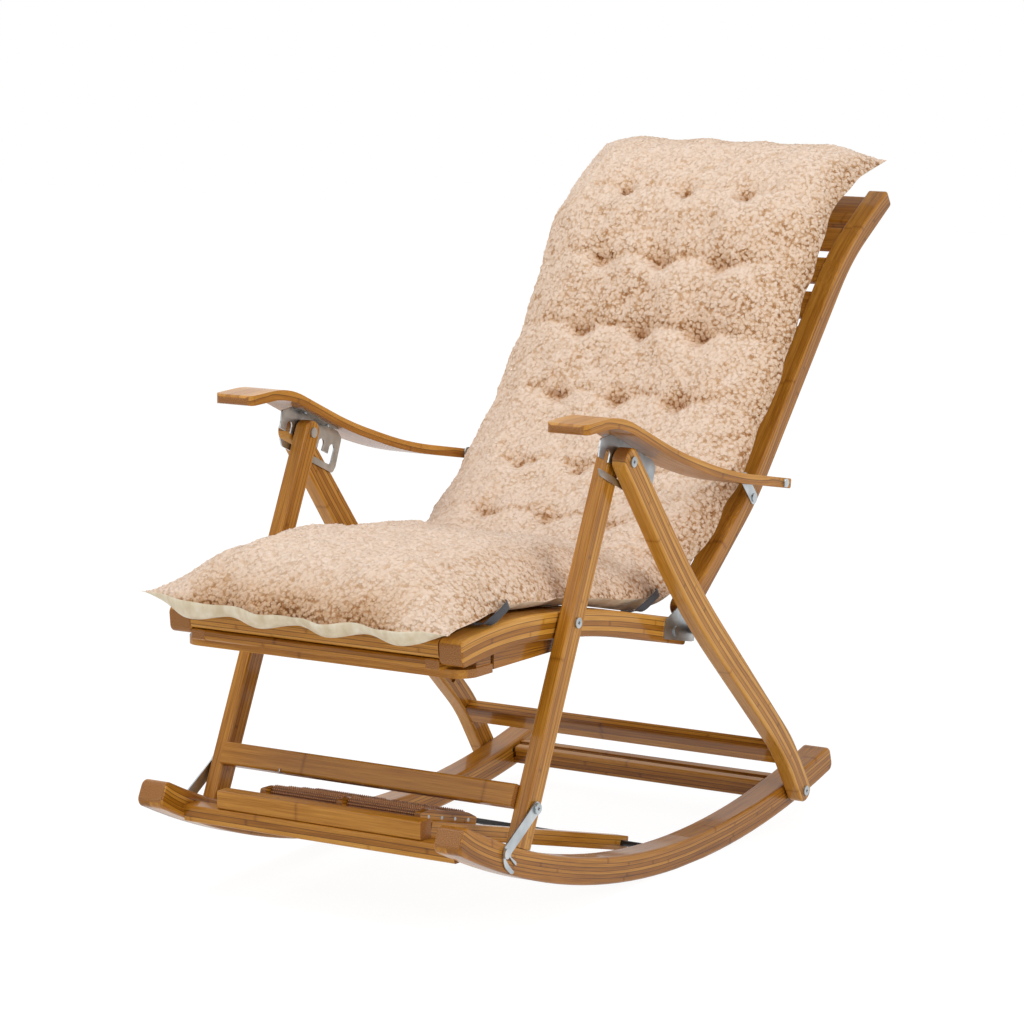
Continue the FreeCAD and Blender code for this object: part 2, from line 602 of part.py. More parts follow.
def build_latch_link():
    """Flat link bent downwards at its elbow, with a slot open at the tip."""
    x0, x1 = latch_x()
    toward = unit(LATCH_PIVOT, LATCH_STUD)
    elbow = add(LATCH_PIVOT, toward, LATCH_ELBOW)
    down = left(toward)
    sag = LATCH_TIP * LATCH_TIP / (2.0 * math.hypot(LATCH_STUD[0] - LATCH_PIVOT[0], LATCH_STUD[1] - LATCH_PIVOT[1]))
    tip = add(add(LATCH_STUD, toward, -sag), down, LATCH_TIP)
    path = [add(LATCH_PIVOT, toward, -0.5 * LATCH_WIDTH), elbow, tip]
    body = strip(path, (0.0, 12.0, 0.0), (LATCH_WIDTH,) * 3, (7.0, 4.0), x0, x1)
    hole = LATCH_STUD_RADIUS + LATCH_HOLE_CLEARANCE
    swing = math.hypot(LATCH_STUD[0] - LATCH_PIVOT[0], LATCH_STUD[1] - LATCH_PIVOT[1])
    ring = rod(LATCH_PIVOT, swing + hole, x0 - 1.0, x1 + 1.0)
    ring = ring.cut(rod(LATCH_PIVOT, swing - hole, x0 - 2.0, x1 + 2.0))
    reach = 2.0 * (LATCH_TIP + LATCH_WIDTH)
    below = box_outline(add(LATCH_STUD, down, 0.5 * reach), math.degrees(math.atan2(down[1], down[0])), reach, reach)
    slot = ring.common(plate(below, 0.0, x0 - 1.0, x1 + 1.0))
    body = body.cut(slot).cut(rod(LATCH_STUD, hole, x0 - 1.0, x1 + 1.0))
    return body.cut(rod(LATCH_PIVOT, BORE_RADIUS, x0 - 1.0, x1 + 1.0))


SEAT_RUNS = path_runs(SEAT_RAIL_PATH, SEAT_RAIL_RADII)


def build_seat_rail():
    """Curved side rail of the seat, rounded at its front end."""
    depths = (SEAT_RAIL_DEPTH,) * 4
    body = strip(SEAT_RAIL_PATH, SEAT_RAIL_RADII, depths, (10.0, 4.0), SEAT_INNER, SEAT_OUTER)
    body = soften(body, LEG_EDGE_ROUND)
    body = body.cut(rod(SEAT_PIVOT, BOLT_RADIUS, SEAT_INNER + 8.0, SEAT_OUTER + 1.0))
    return body.cut(rod(hook_bolt_point(), BOLT_RADIUS, SEAT_INNER + 8.0, SEAT_OUTER + 1.0))


def seat_spot(distance, up):
    """Point at a distance from the front end, up from the seat rail's centre line."""
    point, along = path_at(SEAT_RUNS, distance)
    return add(point, left(along), up), math.degrees(math.atan2(along[1], along[0]))


def build_seat_front_rail():
    centre, angle = seat_spot(0.5 * SEAT_FRONT_RAIL_DEPTH, 0.5 * (SEAT_RAIL_DEPTH - SEAT_FRONT_RAIL_HEIGHT) - SLAT_SINK)
    return bar(centre, angle, SEAT_FRONT_RAIL_DEPTH, SEAT_FRONT_RAIL_HEIGHT, -SEAT_INNER, SEAT_INNER, 6.0)


def build_seat_rear_rail():
    centre, angle = seat_spot(path_length(SEAT_RUNS) - SEAT_REAR_RAIL_SET, 0.0)
    return bar(centre, angle, SEAT_FRONT_RAIL_DEPTH, SEAT_RAIL_DEPTH - 8.0, -SEAT_INNER, SEAT_INNER)


def slat_row(runs, depth, first, last, inner, rise):
    """Cross slats let in flush between two side rails."""
    count = int((last - first - SLAT_WIDTH) / SLAT_PITCH) + 1
    gap = (last - first - count * SLAT_WIDTH) / (count + 1)
    slats = []
    for i in range(count):
        distance = first + gap * (i + 1) + SLAT_WIDTH * (i + 0.5)
        point, along = path_at(runs, distance)
        centre = add(point, left(along), 0.5 * depth - SLAT_SINK - 0.5 * SLAT_THICKNESS + rise)
        angle = math.degrees(math.atan2(along[1], along[0]))
        slats.append(bar(centre, angle, SLAT_WIDTH, SLAT_THICKNESS, -inner, inner, 2.5))
    return Part.makeCompound(slats)


def build_seat_slats():
    end = path_length(SEAT_RUNS) - SEAT_REAR_RAIL_SET - 0.5 * SEAT_FRONT_RAIL_DEPTH
    return slat_row(SEAT_RUNS, SEAT_RAIL_DEPTH, SEAT_FRONT_RAIL_DEPTH, end, SEAT_INNER, 0.0)


def footrest_top():
    """Level of the footrest's upper face, just under the front rail."""
    centre = seat_spot(0.5 * SEAT_FRONT_RAIL_DEPTH, 0.5 * (SEAT_RAIL_DEPTH - SEAT_FRONT_RAIL_HEIGHT) - SLAT_SINK)[0]
    return centre[1] - 0.5 * SEAT_FRONT_RAIL_HEIGHT - 2.0


def seat_front_y():
    return SEAT_RAIL_PATH[0][0]


def build_seat_board():
    """Flat board under the seat's front, round-ended, that the footrest runs on."""
    top = footrest_top() - FOOTREST_HEIGHT - SEAT_CLEARANCE
    y0 = seat_front_y() + 18.0
    corners = [(-SEAT_OUTER + 6.0, y0), (SEAT_OUTER - 6.0, y0), (SEAT_OUTER - 6.0, y0 + BOARD_DEPTH),
               (-SEAT_OUTER + 6.0, y0 + BOARD_DEPTH)]
    wire = flat_outline(corners, [BOARD_END_ROUND, BOARD_END_ROUND, 6.0, 6.0], top - BOARD_THICKNESS)
    return Part.Face(wire).extrude(FreeCAD.Vector(0, 0, BOARD_THICKNESS))


def flat_outline(points, radii, z):
    """Closed wire in a level plane, its corners rounded."""
    count = len(points)
    corners = [corner(points[i - 1], points[i], points[(i + 1) % count], radii[i]) for i in range(count)]
    edges = []
    for i in range(count):
        start, middle, end = corners[i]
        before = corners[i - 1][2]
        edges.append(Part.LineSegment(FreeCAD.Vector(*before, z), FreeCAD.Vector(*start, z)).toShape())
        if middle is not None:
            edges.append(Part.Arc(FreeCAD.Vector(*start, z), FreeCAD.Vector(*middle, z), FreeCAD.Vector(*end, z)).toShape())
    return Part.Wire(edges)


def build_board_hangers():
    """Blocks that hold the board under the side rails, outside the footrest."""
    top_of_board = footrest_top() - FOOTREST_HEIGHT - SEAT_CLEARANCE
    y0 = seat_front_y() + 18.0 + BOARD_END_ROUND
    y1 = seat_front_y() + 18.0 + BOARD_DEPTH - 6.0
    half = footrest_half() + SIDE_CLEARANCE
    distance = 0.5 * (y0 + y1) - seat_front_y()
    under, angle = seat_spot(distance, -0.5 * SEAT_RAIL_DEPTH)
    slope = math.tan(math.radians(angle))
    z0 = under[1] + slope * (y0 - under[0])
    z1 = under[1] + slope * (y1 - under[0])
    points = [(y0, top_of_board), (y1, top_of_board), (y1, z1), (y0, z0)]
    block = plate(points, 0.0, half, SEAT_OUTER - 8.0)
    return Part.makeCompound([block, mirrored(block)])


def footrest_half():
    return SEAT_INNER - SIDE_CLEARANCE


def footrest_y():
    start = seat_front_y() + 2.0
    return start, start + FOOTREST_LENGTH


def build_footrest_front():
    top = footrest_top()
    y0 = footrest_y()[0]
    half = footrest_half() - FOOTREST_END_BLOCK
    centre = (y0 + 0.5 * FOOTREST_RAIL, top - 0.5 * FOOTREST_HEIGHT)
    return bar(centre, 0.0, FOOTREST_RAIL, FOOTREST_HEIGHT, -half, half, 5.0)


def build_footrest_side():
    """Side runner, with the dark end grain of its front end in view."""
    top = footrest_top()
    y0, y1 = footrest_y()
    half = footrest_half()
    centre = (0.5 * (y0 + y1), top - 0.5 * FOOTREST_HEIGHT)
    return bar(centre, 0.0, y1 - y0, FOOTREST_HEIGHT, half - FOOTREST_END_BLOCK, half)


def build_footrest_slats():
    top = footrest_top()
    y0, y1 = footrest_y()
    half = footrest_half() - FOOTREST_END_BLOCK
    start = y0 + FOOTREST_RAIL
    gap = (y1 - start - FOOTREST_SLATS * SLAT_WIDTH) / FOOTREST_SLATS
    slats = []
    for i in range(FOOTREST_SLATS):
        y = start + gap * (i + 1) + SLAT_WIDTH * (i + 0.5)
        slats.append(bar((y, top - 1.0 - 0.5 * SLAT_THICKNESS), 0.0, SLAT_WIDTH, SLAT_THICKNESS, -half, half, 2.5))
    return Part.makeCompound(slats)


def build_footrest_guides():
    """Ledges on the seat rails' inner faces that carry the footrest's runners."""
    top = footrest_top()
    y0, y1 = footrest_y()
    half = footrest_half()
    z = top - FOOTREST_HEIGHT - SEAT_CLEARANCE
    start = seat_front_y() + 18.0 + BOARD_DEPTH + 1.0
    web_top = seat_spot(start - seat_front_y(), -0.5 * SEAT_RAIL_DEPTH)[0][1]
    end = y1 - 20.0
    under = [seat_spot(d, -0.5 * SEAT_RAIL_DEPTH)[0] for d in (start - seat_front_y(), 0.5 * (start + end) - seat_front_y(), end - seat_front_y())]
    low = z - 8.0
    web = plate([(start, low), (end, low), under[2], under[1], under[0]], 0.0, half + SIDE_CLEARANCE, SEAT_OUTER - 8.0)
    ledge = plate([(start, low), (end, low), (end, z), (start, z)], 0.0, half - 12.0, half + SIDE_CLEARANCE)
    guide = web.fuse(ledge).removeSplitter()
    return Part.makeCompound([guide, mirrored(guide)])


def build_seat_bolt():
    shank = rod(SEAT_PIVOT, BOLT_RADIUS, SEAT_INNER + 8.0, FRONT_LEG_OUTER + SEAT_CLEARANCE + 0.5)
    head_x = FRONT_LEG_OUTER + SEAT_CLEARANCE
    head = rod(SEAT_PIVOT, BOLT_HEAD_RADIUS, head_x, head_x + BOLT_HEAD)
    washer = rod(SEAT_PIVOT, BOLT_HEAD_RADIUS + 1.0, SEAT_OUTER, FRONT_LEG_INNER - SEAT_CLEARANCE)
    return shank.fuse(head).fuse(washer).removeSplitter()


def hook_bolt_point():
    """Place near the seat rail's rear end where the hook plate turns."""
    return seat_spot(path_length(SEAT_RUNS) - HOOK_BOLT_SET, 0.0)[0]


def build_hook_bolt():
    shank = rod(hook_bolt_point(), BOLT_RADIUS, SEAT_INNER + 8.0, SEAT_OUTER + PLATE_THICKNESS + 0.7)
    head_x = SEAT_OUTER + PLATE_THICKNESS + PLATE_CLEARANCE
    head = rod(hook_bolt_point(), BOLT_HEAD_RADIUS, head_x, head_x + 1.5)
    return shank.fuse(head).removeSplitter()


def build_hook_plate():
    """Steel cheek that turns on the seat rail: back pivot above, open hook below."""
    x0 = SEAT_OUTER
    x1 = SEAT_OUTER + PLATE_THICKNESS
    front, angle = seat_spot(path_length(SEAT_RUNS) - 62.0, 0.0)
    d = polar(angle)
    n = left(d)
    low_front = add(front, n, -0.36 * SEAT_RAIL_DEPTH)
    high_front = add(front, n, 0.36 * SEAT_RAIL_DEPTH)
    lip = STAY_ROD_RADIUS + HOOK_LIP
    points = [
        low_front,
        add(STAY, (-lip, -lip)),
        add(STAY, (lip, -lip)),
        add(STAY, (lip, lip)),
        add(BACK_PIVOT, (lip, 0.0)),
        add(BACK_PIVOT, (lip - 3.0, lip)),
        add(BACK_PIVOT, (-lip + 2.0, lip)),
        high_front,
    ]
    body = plate(points, (4.0, 6.0, 4.0, 2.0, 4.0, 9.0, 9.0, 5.0), x0, x1)
    mouth = STAY_ROD_RADIUS + SEAT_CLEARANCE
    centre = add(STAY, (0.0, -lip))
    notch = bar(centre, 90.0, 2.0 * (lip + mouth), 2.0 * mouth, x0 - 1.0, x1 + 1.0, 0.99 * mouth)
    body = body.cut(notch)
    body = body.cut(rod(BACK_PIVOT, BOLT_RADIUS, x0 - 1.0, x1 + 1.0))
    return body.cut(rod(hook_bolt_point(), BORE_RADIUS, x0 - 1.0, x1 + 1.0))


def build_back_bolt():
    """Pin on which the back turns, held by the hook plate."""
    return rod(BACK_PIVOT, BOLT_RADIUS, BACK_INNER + 6.0, SEAT_OUTER + PLATE_THICKNESS)


BACK_RUNS = path_runs(BACK_PATH, BACK_RADII)


def build_back_rail():
    """S-shaped side rail of the back, round-ended about its pivot."""
    path = list(BACK_PATH)
    path[0] = add(path[0], unit(path[1], path[0]), 0.5 * BACK_RAIL_DEPTH)
    body = strip(path, BACK_RADII, (BACK_RAIL_DEPTH,) * 4, (0.48 * BACK_RAIL_DEPTH, 5.0), BACK_INNER, BACK_OUTER)
    body = soften(body, LEG_EDGE_ROUND)
    body = body.cut(rod(BACK_PIVOT, BORE_RADIUS, BACK_INNER + 6.0 - SEAT_CLEARANCE, BACK_OUTER + 1.0))
    return body.cut(rod(arm_anchor(), ARM_BOLT_RADIUS, BACK_OUTER - LINK_BOLT_GRIP, BACK_OUTER + 1.0))


def arm_anchor():
    """Place on the back rail's centre line where the armrest's link is bolted."""
    return path_at(BACK_RUNS, anchor_distance())[0]


def build_arm_link():
    """Short steel link that turns on the back rail and carries the armrest's screw."""
    anchor = arm_anchor()
    ear = ARM_BOLT_RADIUS + LINK_WALL
    length = math.hypot(ARM_PIVOT[0] - anchor[0], ARM_PIVOT[1] - anchor[1])
    angle = math.degrees(math.atan2(ARM_PIVOT[1] - anchor[1], ARM_PIVOT[0] - anchor[0]))
    middle = (0.5 * (ARM_PIVOT[0] + anchor[0]), 0.5 * (ARM_PIVOT[1] + anchor[1]))
    x0 = BACK_OUTER + LINK_CLEARANCE
    body = bar(middle, angle, length + 2.0 * ear, 2.0 * ear, x0, x0 + LINK_THICKNESS, 0.99 * ear)
    body = body.cut(rod(anchor, ARM_BOLT_RADIUS + PIN_CLEARANCE, x0 - 1.0, x0 + LINK_THICKNESS + 1.0))
    return body.fuse(build_arm_screw()).removeSplitter()


def build_arm_link_bolt():
    """Bolt in the back rail on which the armrest's link turns."""
    outer = BACK_OUTER + LINK_CLEARANCE + LINK_THICKNESS + LINK_CLEARANCE
    shank = rod(arm_anchor(), ARM_BOLT_RADIUS, BACK_OUTER - LINK_BOLT_GRIP, outer + 0.5)
    head = rod(arm_anchor(), ARM_BOLT_RADIUS + 3.0, outer, outer + 1.5)
    return shank.fuse(head).removeSplitter()


def anchor_distance():
    """Distance along the back rail at which the armrest's pivot stands square to it."""
    total = path_length(BACK_RUNS)
    best = min(range(400), key=lambda i: math.hypot(*add(path_at(BACK_RUNS, total * i / 400.0)[0], ARM_PIVOT, -1.0)))
    return total * best / 400.0


def back_spot(distance, up):
    point, along = path_at(BACK_RUNS, distance)
    return add(point, left(along), up), math.degrees(math.atan2(along[1], along[0]))


def build_back_top_rail():
    distance = path_length(BACK_RUNS) - TOP_RAIL_SET - 0.5 * TOP_RAIL_DEPTH
    centre, angle = back_spot(distance, 0.5 * (BACK_RAIL_DEPTH - TOP_RAIL_THICKNESS) - SLAT_SINK)
    return bar(centre, angle, TOP_RAIL_DEPTH, TOP_RAIL_THICKNESS, -BACK_INNER, BACK_INNER)


def build_back_lower_rail():
    centre, angle = back_spot(LOWER_RAIL_SET, 0.0)
    return bar(centre, angle, SEAT_FRONT_RAIL_DEPTH, BACK_RAIL_DEPTH - 6.0, -BACK_INNER, BACK_INNER)


def build_back_slats():
    first = LOWER_RAIL_SET + 0.5 * SEAT_FRONT_RAIL_DEPTH
    last = path_length(BACK_RUNS) - TOP_RAIL_SET - TOP_RAIL_DEPTH
    return slat_row(BACK_RUNS, BACK_RAIL_DEPTH, first, last, BACK_INNER, 0.0)


def build_arm_screw():
    """Screw across the armrest's rear end and through the link, with a flat nut."""
    outer = ARM_INNER_X + ARM_WIDTH
    inner = BACK_OUTER - SEAT_CLEARANCE
    shank = rod(ARM_PIVOT, ARM_BOLT_RADIUS, inner, outer + SEAT_CLEARANCE + 1.0)
    head = rod(ARM_PIVOT, ARM_BOLT_RADIUS + 3.0, outer + SEAT_CLEARANCE, outer + SEAT_CLEARANCE + BOLT_HEAD)
    nut = rod(ARM_PIVOT, ARM_BOLT_RADIUS + 2.0, inner - 1.2, inner)
    return shank.fuse(head).fuse(nut).removeSplitter()


def build_armrest():
    """Waved armrest of even thickness, its front corners rounded in plan."""
    outer = ARM_INNER_X + ARM_WIDTH
    body = strip(ARM_PATH, ARM_RADII, (ARM_THICKNESS,) * 5, (0.4 * ARM_THICKNESS, 3.0), ARM_INNER_X, outer)
    y0 = ARM_PATH[0][0]
    y1 = ARM_PATH[-1][0] + 20.0
    plan = [(ARM_INNER_X, y0), (outer, y0), (outer, y1), (ARM_INNER_X, y1)]
    rounds = [ARM_CORNER_ROUND, ARM_CORNER_ROUND, 1.0, 1.0]
    low = min(p[1] for p in ARM_PATH) - 50.0
    high = max(p[1] for p in ARM_PATH) + 50.0
    column = Part.Face(flat_outline(plan, rounds, low)).extrude(FreeCAD.Vector(0, 0, high - low))
    body = body.common(column)
    return body.cut(rod(ARM_PIVOT, ARM_BOLT_RADIUS + PIN_CLEARANCE, ARM_INNER_X - 1.0, outer + 1.0))


def rack_frame():
    """Direction of the row of pockets and the normal up to the armrest."""
    along = unit(ARM_PATH[1], ARM_PATH[2])
    return along, left(along)


def arm_underside_offset():
    """Distance from the top pivot up to the armrest's underside."""
    along, up = rack_frame()
    rise = (ARM_PATH[1][0] - TOP[0]) * up[0] + (ARM_PATH[1][1] - TOP[1]) * up[1]
    return rise - 0.5 * ARM_THICKNESS


def rack_point(forward, rise):
    """Point measured rearwards along the rack and up from the top pivot."""
    along, up = rack_frame()
    return add(add(TOP, along, forward), up, rise)


def build_arm_bracket():
    """Steel angle under the armrest, its cheek cut with a comb of six pockets
    that open into one channel, so the bolt can pass from pocket to pocket."""
    x0, x1 = cheek_x()
    under = arm_underside_offset()
    foot = under - BRACKET_DROP
    front = -BRACKET_FRONT
    rear = BRACKET_REAR
    tangent = BRACKET_FRONT - 22.0
    points = [
        rack_point(front, under - 12.0),
        rack_point(front + 6.0, foot + 14.0),
        rack_point(front + 18.0, foot),
        rack_point(rear - 4.0, foot),
        rack_point(rear, foot + 10.0),
        rack_point(rear - 2.0, under - 6.0),
        rack_point(rear - 14.0, under),
        rack_point(-tangent, under),
    ]
    cheek = plate(points, (4.0, 6.0, 8.0, 6.0, 3.0, 5.0, 6.0, 8.0), x0, x1)
    flange_points = [
        rack_point(-tangent + 4.0, under),
        rack_point(-tangent + 4.0, under - BRACKET_THICKNESS),
        rack_point(rear - 34.0, under - BRACKET_THICKNESS),
        rack_point(rear - 34.0, under),
    ]
    flange = plate(flange_points, 0.0, x0 - BRACKET_FLANGE, x0 + 0.5)
    body = cheek.fuse(flange).removeSplitter()
    half = 0.5 * POCKET_WIDTH
    bottom = half - POCKET_RISE
    ahead = POCKETS_AHEAD
    behind = POCKETS - 1 - POCKETS_AHEAD
    channel = [
        rack_point(-ahead * POCKET_PITCH - half, bottom),
        rack_point(-ahead * POCKET_PITCH - half, bottom + CHANNEL_HEIGHT),
        rack_point(behind * POCKET_PITCH + half, bottom + CHANNEL_HEIGHT),
        rack_point(behind * POCKET_PITCH + half, bottom),
    ]
    body = body.cut(plate(channel, (4.0, 0.0, 0.0, 4.0), x0 - 1.0, x1 + 1.0))
    for i in range(POCKETS):
        x = (i - ahead) * POCKET_PITCH
        pocket = [
            rack_point(x - half, bottom + 0.5 * CHANNEL_HEIGHT),
            rack_point(x - half, half),
            rack_point(x + half, half),
            rack_point(x + half, bottom + 0.5 * CHANNEL_HEIGHT),
        ]
        body = body.cut(plate(pocket, (0.0, 0.98 * half, 0.98 * half, 0.0), x0 - 1.0, x1 + 1.0))
    axis = rack_frame()[1]
    for place in (-8.0, 0.5 * BRACKET_REAR):
        base = vec(x0 - 0.5 * BRACKET_FLANGE, rack_point(place, under - BRACKET_THICKNESS - 1.5))
        head = Part.makeCylinder(3.5, 1.6, base, FreeCAD.Vector(0, axis[0], axis[1]))
        body = body.fuse(head)
    return body.removeSplitter()


def pedal_frame():
    """Start at the rod, direction to the front rail, and the length between."""
    rest = front_rail_top()
    front = (rest[0], rest[1] + SEAT_CLEARANCE + 0.5 * PEDAL_FRONT_HEIGHT)
    along = unit(PEDAL_ROD, front)
    length = math.hypot(front[0] - PEDAL_ROD[0], front[1] - PEDAL_ROD[1])
    return along, length


def pedal_point(distance, up):
    along = pedal_frame()[0]
    return add(add(PEDAL_ROD, along, distance), left(along), -up)


def build_pedal_front():
    along, length = pedal_frame()
    rest = front_rail_top()
    centre = (rest[0], rest[1] + SEAT_CLEARANCE + 0.5 * PEDAL_FRONT_HEIGHT)
    return bar(centre, 0.0, PEDAL_FRONT_DEPTH, PEDAL_FRONT_HEIGHT, -PEDAL_HALF_WIDTH, PEDAL_HALF_WIDTH)


def build_pedal_side():
    along, length = pedal_frame()
    start = -PEDAL_REAR_OVERHANG
    end = length - 0.5 * PEDAL_FRONT_DEPTH / abs(along[0]) - 0.3
    centre = pedal_point(0.5 * (start + end), 0.0)
    angle = math.degrees(math.atan2(along[1], along[0]))
    body = bar(centre, angle, end - start, PEDAL_RAIL_HEIGHT, PEDAL_HALF_WIDTH - PEDAL_RAIL_WIDTH, PEDAL_HALF_WIDTH)
    behind = front_rail_top()[0] + 0.5 * PEDAL_FRONT_DEPTH
    keep = Part.makeBox(600.0, 700.0, 400.0, FreeCAD.Vector(-300.0, behind, 0.0))
    body = body.common(keep)
    rail = add(front_rail_top(), (0.0, -0.5 * FRONT_RAIL_HEIGHT))
    notch = bar(rail, 0.0, FRONT_RAIL_DEPTH + 2.0 * SEAT_CLEARANCE, FRONT_RAIL_HEIGHT + 2.0 * SEAT_CLEARANCE, -300.0, 300.0)
    body = body.cut(notch)
    return body.cut(rod(PEDAL_ROD, PEDAL_ROD_RADIUS + PIN_CLEARANCE, -300.0, 300.0))


def unit_start():
    along, length = pedal_frame()
    return length - 0.5 * PEDAL_FRONT_DEPTH - ROLLER_UNIT_BACK


def build_pedal_slats():
    """Two cross slats that carry the roller unit, and one behind it."""
    inner = PEDAL_HALF_WIDTH - PEDAL_RAIL_WIDTH
    angle = math.degrees(math.atan2(pedal_frame()[0][1], pedal_frame()[0][0]))
    unit_length = ROLLER_ROWS * ROLLER_PITCH
    slats = []
    for distance in (unit_start() - 8.0, unit_start() - unit_length + 4.0, unit_start() - unit_length - 80.0):
        slats.append(bar(pedal_point(distance, -3.0), angle, 26.0, 9.0, -inner, inner, 2.5))
    return Part.makeCompound(slats)


def roller_height():
    return -3.0 + 4.5 + ROLLER_CREST + 0.5


def build_end_plates():
    """Three upright plates with arched tops that carry the roller axles."""
    start = unit_start() + 4.0
    end = unit_start() - ROLLER_ROWS * ROLLER_PITCH - 4.0
    low = -3.0 + 4.5
    high = low + END_PLATE_HEIGHT
    points = [pedal_point(start, low), pedal_point(start, high - 5.0), pedal_point(start - 22.0, high),
              pedal_point(end + 22.0, high), pedal_point(end, high - 5.0), pedal_point(end, low)]
    plates = []
    for x in (-UNIT_HALF_WIDTH, -0.5 * END_PLATE, UNIT_HALF_WIDTH - END_PLATE):
        body = plate(points, (1.0, 3.0, 30.0, 30.0, 3.0, 1.0), x, x + END_PLATE)
        for row in range(ROLLER_ROWS):
            bore = rod(pedal_point(unit_start() - (row + 0.5) * ROLLER_PITCH, roller_height()), ROLLER_AXLE, x - 1.0, x + END_PLATE + 1.0)
            body = body.cut(bore)
        plates.append(body)
    return Part.makeCompound(plates)


def build_axles():
    """One steel axle for each row, through the three plates."""
    axles = []
    for row in range(ROLLER_ROWS):
        centre = pedal_point(unit_start() - (row + 0.5) * ROLLER_PITCH, roller_height())
        axles.append(rod(centre, ROLLER_AXLE, -UNIT_HALF_WIDTH, UNIT_HALF_WIDTH))
    return Part.makeCompound(axles)


def build_roller(row, side):
    """Turned roller with rings of pointed nubs, loose on its axle."""
    inner = 0.5 * END_PLATE + ROLLER_GAP
    outer = UNIT_HALF_WIDTH - END_PLATE - ROLLER_GAP
    beads = max(3, int(round((outer - inner) / ROLLER_BEAD)))
    step = (outer - inner) / beads
    centre = pedal_point(unit_start() - (row + 0.5) * ROLLER_PITCH, roller_height())
    wires = []
    for i in range(2 * beads + 1):
        radius = ROLLER_CREST if i % 2 else ROLLER_VALLEY
        x = inner + 0.5 * i * step
        ring = []
        for k in range(ROLLER_SIDES + 1):
            angle = 2.0 * math.pi * (k % ROLLER_SIDES) / ROLLER_SIDES
            ring.append(FreeCAD.Vector(x, centre[0] + radius * math.cos(angle), centre[1] + radius * math.sin(angle)))
        wires.append(Part.makePolygon(ring))
    body = Part.makeLoft(wires, True, True)
    body = body.cut(rod(centre, ROLLER_AXLE + PIN_CLEARANCE, inner - 1.0, outer + 1.0))
    return body if side > 0 else mirrored(body)


def pad_section(origin, up, half_width, side, crown):
    """Closed section: flat underside, bulging sides and a crowned top."""
    def at(x, rise):
        return vec(x, add(origin, up, rise))

    inset = half_width - PAD_BULGE
    edges = [
        Part.LineSegment(at(-inset, 0.0), at(inset, 0.0)).toShape(),
        Part.Arc(at(inset, 0.0), at(half_width, 0.5 * side), at(inset, side)).toShape(),
        Part.Arc(at(inset, side), at(0.0, crown), at(-inset, side)).toShape(),
        Part.Arc(at(-inset, side), at(-half_width, 0.5 * side), at(-inset, 0.0)).toShape(),
    ]
    return Part.Wire(edges)


def pad_stations(start, end, rows):
    """Distances for the sections: each sewn row, each puff between, both ends."""
    marks = []
    for row in rows:
        if start < row < end:
            marks.append((row, "row"))
    puffs = []
    edges = [start] + [m[0] for m in marks] + [end]
    for a, b in zip(edges[:-1], edges[1:]):
        puffs.append((0.5 * (a + b), "puff"))
    inner = sorted(marks + puffs)
    return [(start, "end"), (start + PAD_END_ROUND, "near")] + inner + [(end - PAD_END_ROUND, "near"), (end, "end")]


def head_share(distance):
    """Rises smoothly from 0 to 1 where the pad grows fuller towards the head."""
    share = min(1.0, max(0.0, (distance - PAD_HEAD_START) / (PAD_HEAD_END - PAD_HEAD_START)))
    return share * share * (3.0 - 2.0 * share)


def seat_fullness(distance):
    return PAD_SEAT_FULLNESS


def back_fullness(distance):
    """Full at the crease, thinner at the waist and fullest at the head."""
    share = min(1.0, max(0.0, 1.0 - distance / PAD_WAIST))
    low = share * share * (3.0 - 2.0 * share)
    return 1.0 + (PAD_CREASE_FULLNESS - 1.0) * low + (PAD_HEAD_FULLNESS - 1.0) * head_share(distance)


def build_pad(place, start, end, rows, tilt_start, tilt_end, fullness):
    """Loft through the sections, then sewn dimples in three columns."""
    sizes = {
        "end": (PAD_HALF_WIDTH - 12.0, 0.62 * PAD_SIDE, 0.62 * PAD_SIDE + 3.0),
        "near": (PAD_HALF_WIDTH - 3.0, 0.86 * PAD_SIDE, 0.76 * PAD_CROWN),
        "row": (PAD_HALF_WIDTH - 5.0, PAD_SIDE - 3.0, PAD_CROWN - PAD_ROW_DIP),
        "puff": (PAD_HALF_WIDTH, PAD_SIDE, PAD_CROWN),
    }
    wires = []
    stations = pad_stations(start, end, rows)
    for index, (distance, kind) in enumerate(stations):
        origin, along = place(distance)
        up = left(along)
        share_start = max(0.0, 1.0 - (distance - start) / (0.7 * PAD_ROW_PITCH))
        share_end = max(0.0, 1.0 - (end - distance) / (0.7 * PAD_ROW_PITCH))
        angle = math.degrees(math.atan2(up[1], up[0])) + tilt_start * share_start + tilt_end * share_end
        width, side, crown = sizes[kind]
        fuller = fullness(distance)
        wires.append(pad_section(origin, polar(angle), width, side * fuller, crown * fuller))
    body = Part.makeLoft(wires, True, False)
    for row in rows:
        if not start + TUFT_RADIUS < row < end - TUFT_RADIUS:
            continue
        origin, along = place(row)
        up = left(along)
        fuller = fullness(row)
        for x in (-TUFT_SPACING, 0.0, TUFT_SPACING):
            drop = (PAD_CROWN - PAD_ROW_DIP - PAD_SIDE) * (x / PAD_HALF_WIDTH) ** 2
            level = (PAD_CROWN - PAD_ROW_DIP - drop) * fuller
            tip = vec(x, add(origin, up, level - TUFT_DEPTH))
            axis = FreeCAD.Vector(0, up[0], up[1])
            cone = Part.makeCone(2.5, TUFT_RADIUS, TUFT_DEPTH + 4.0, tip, axis)
            body = body.cut(cone)
    return body


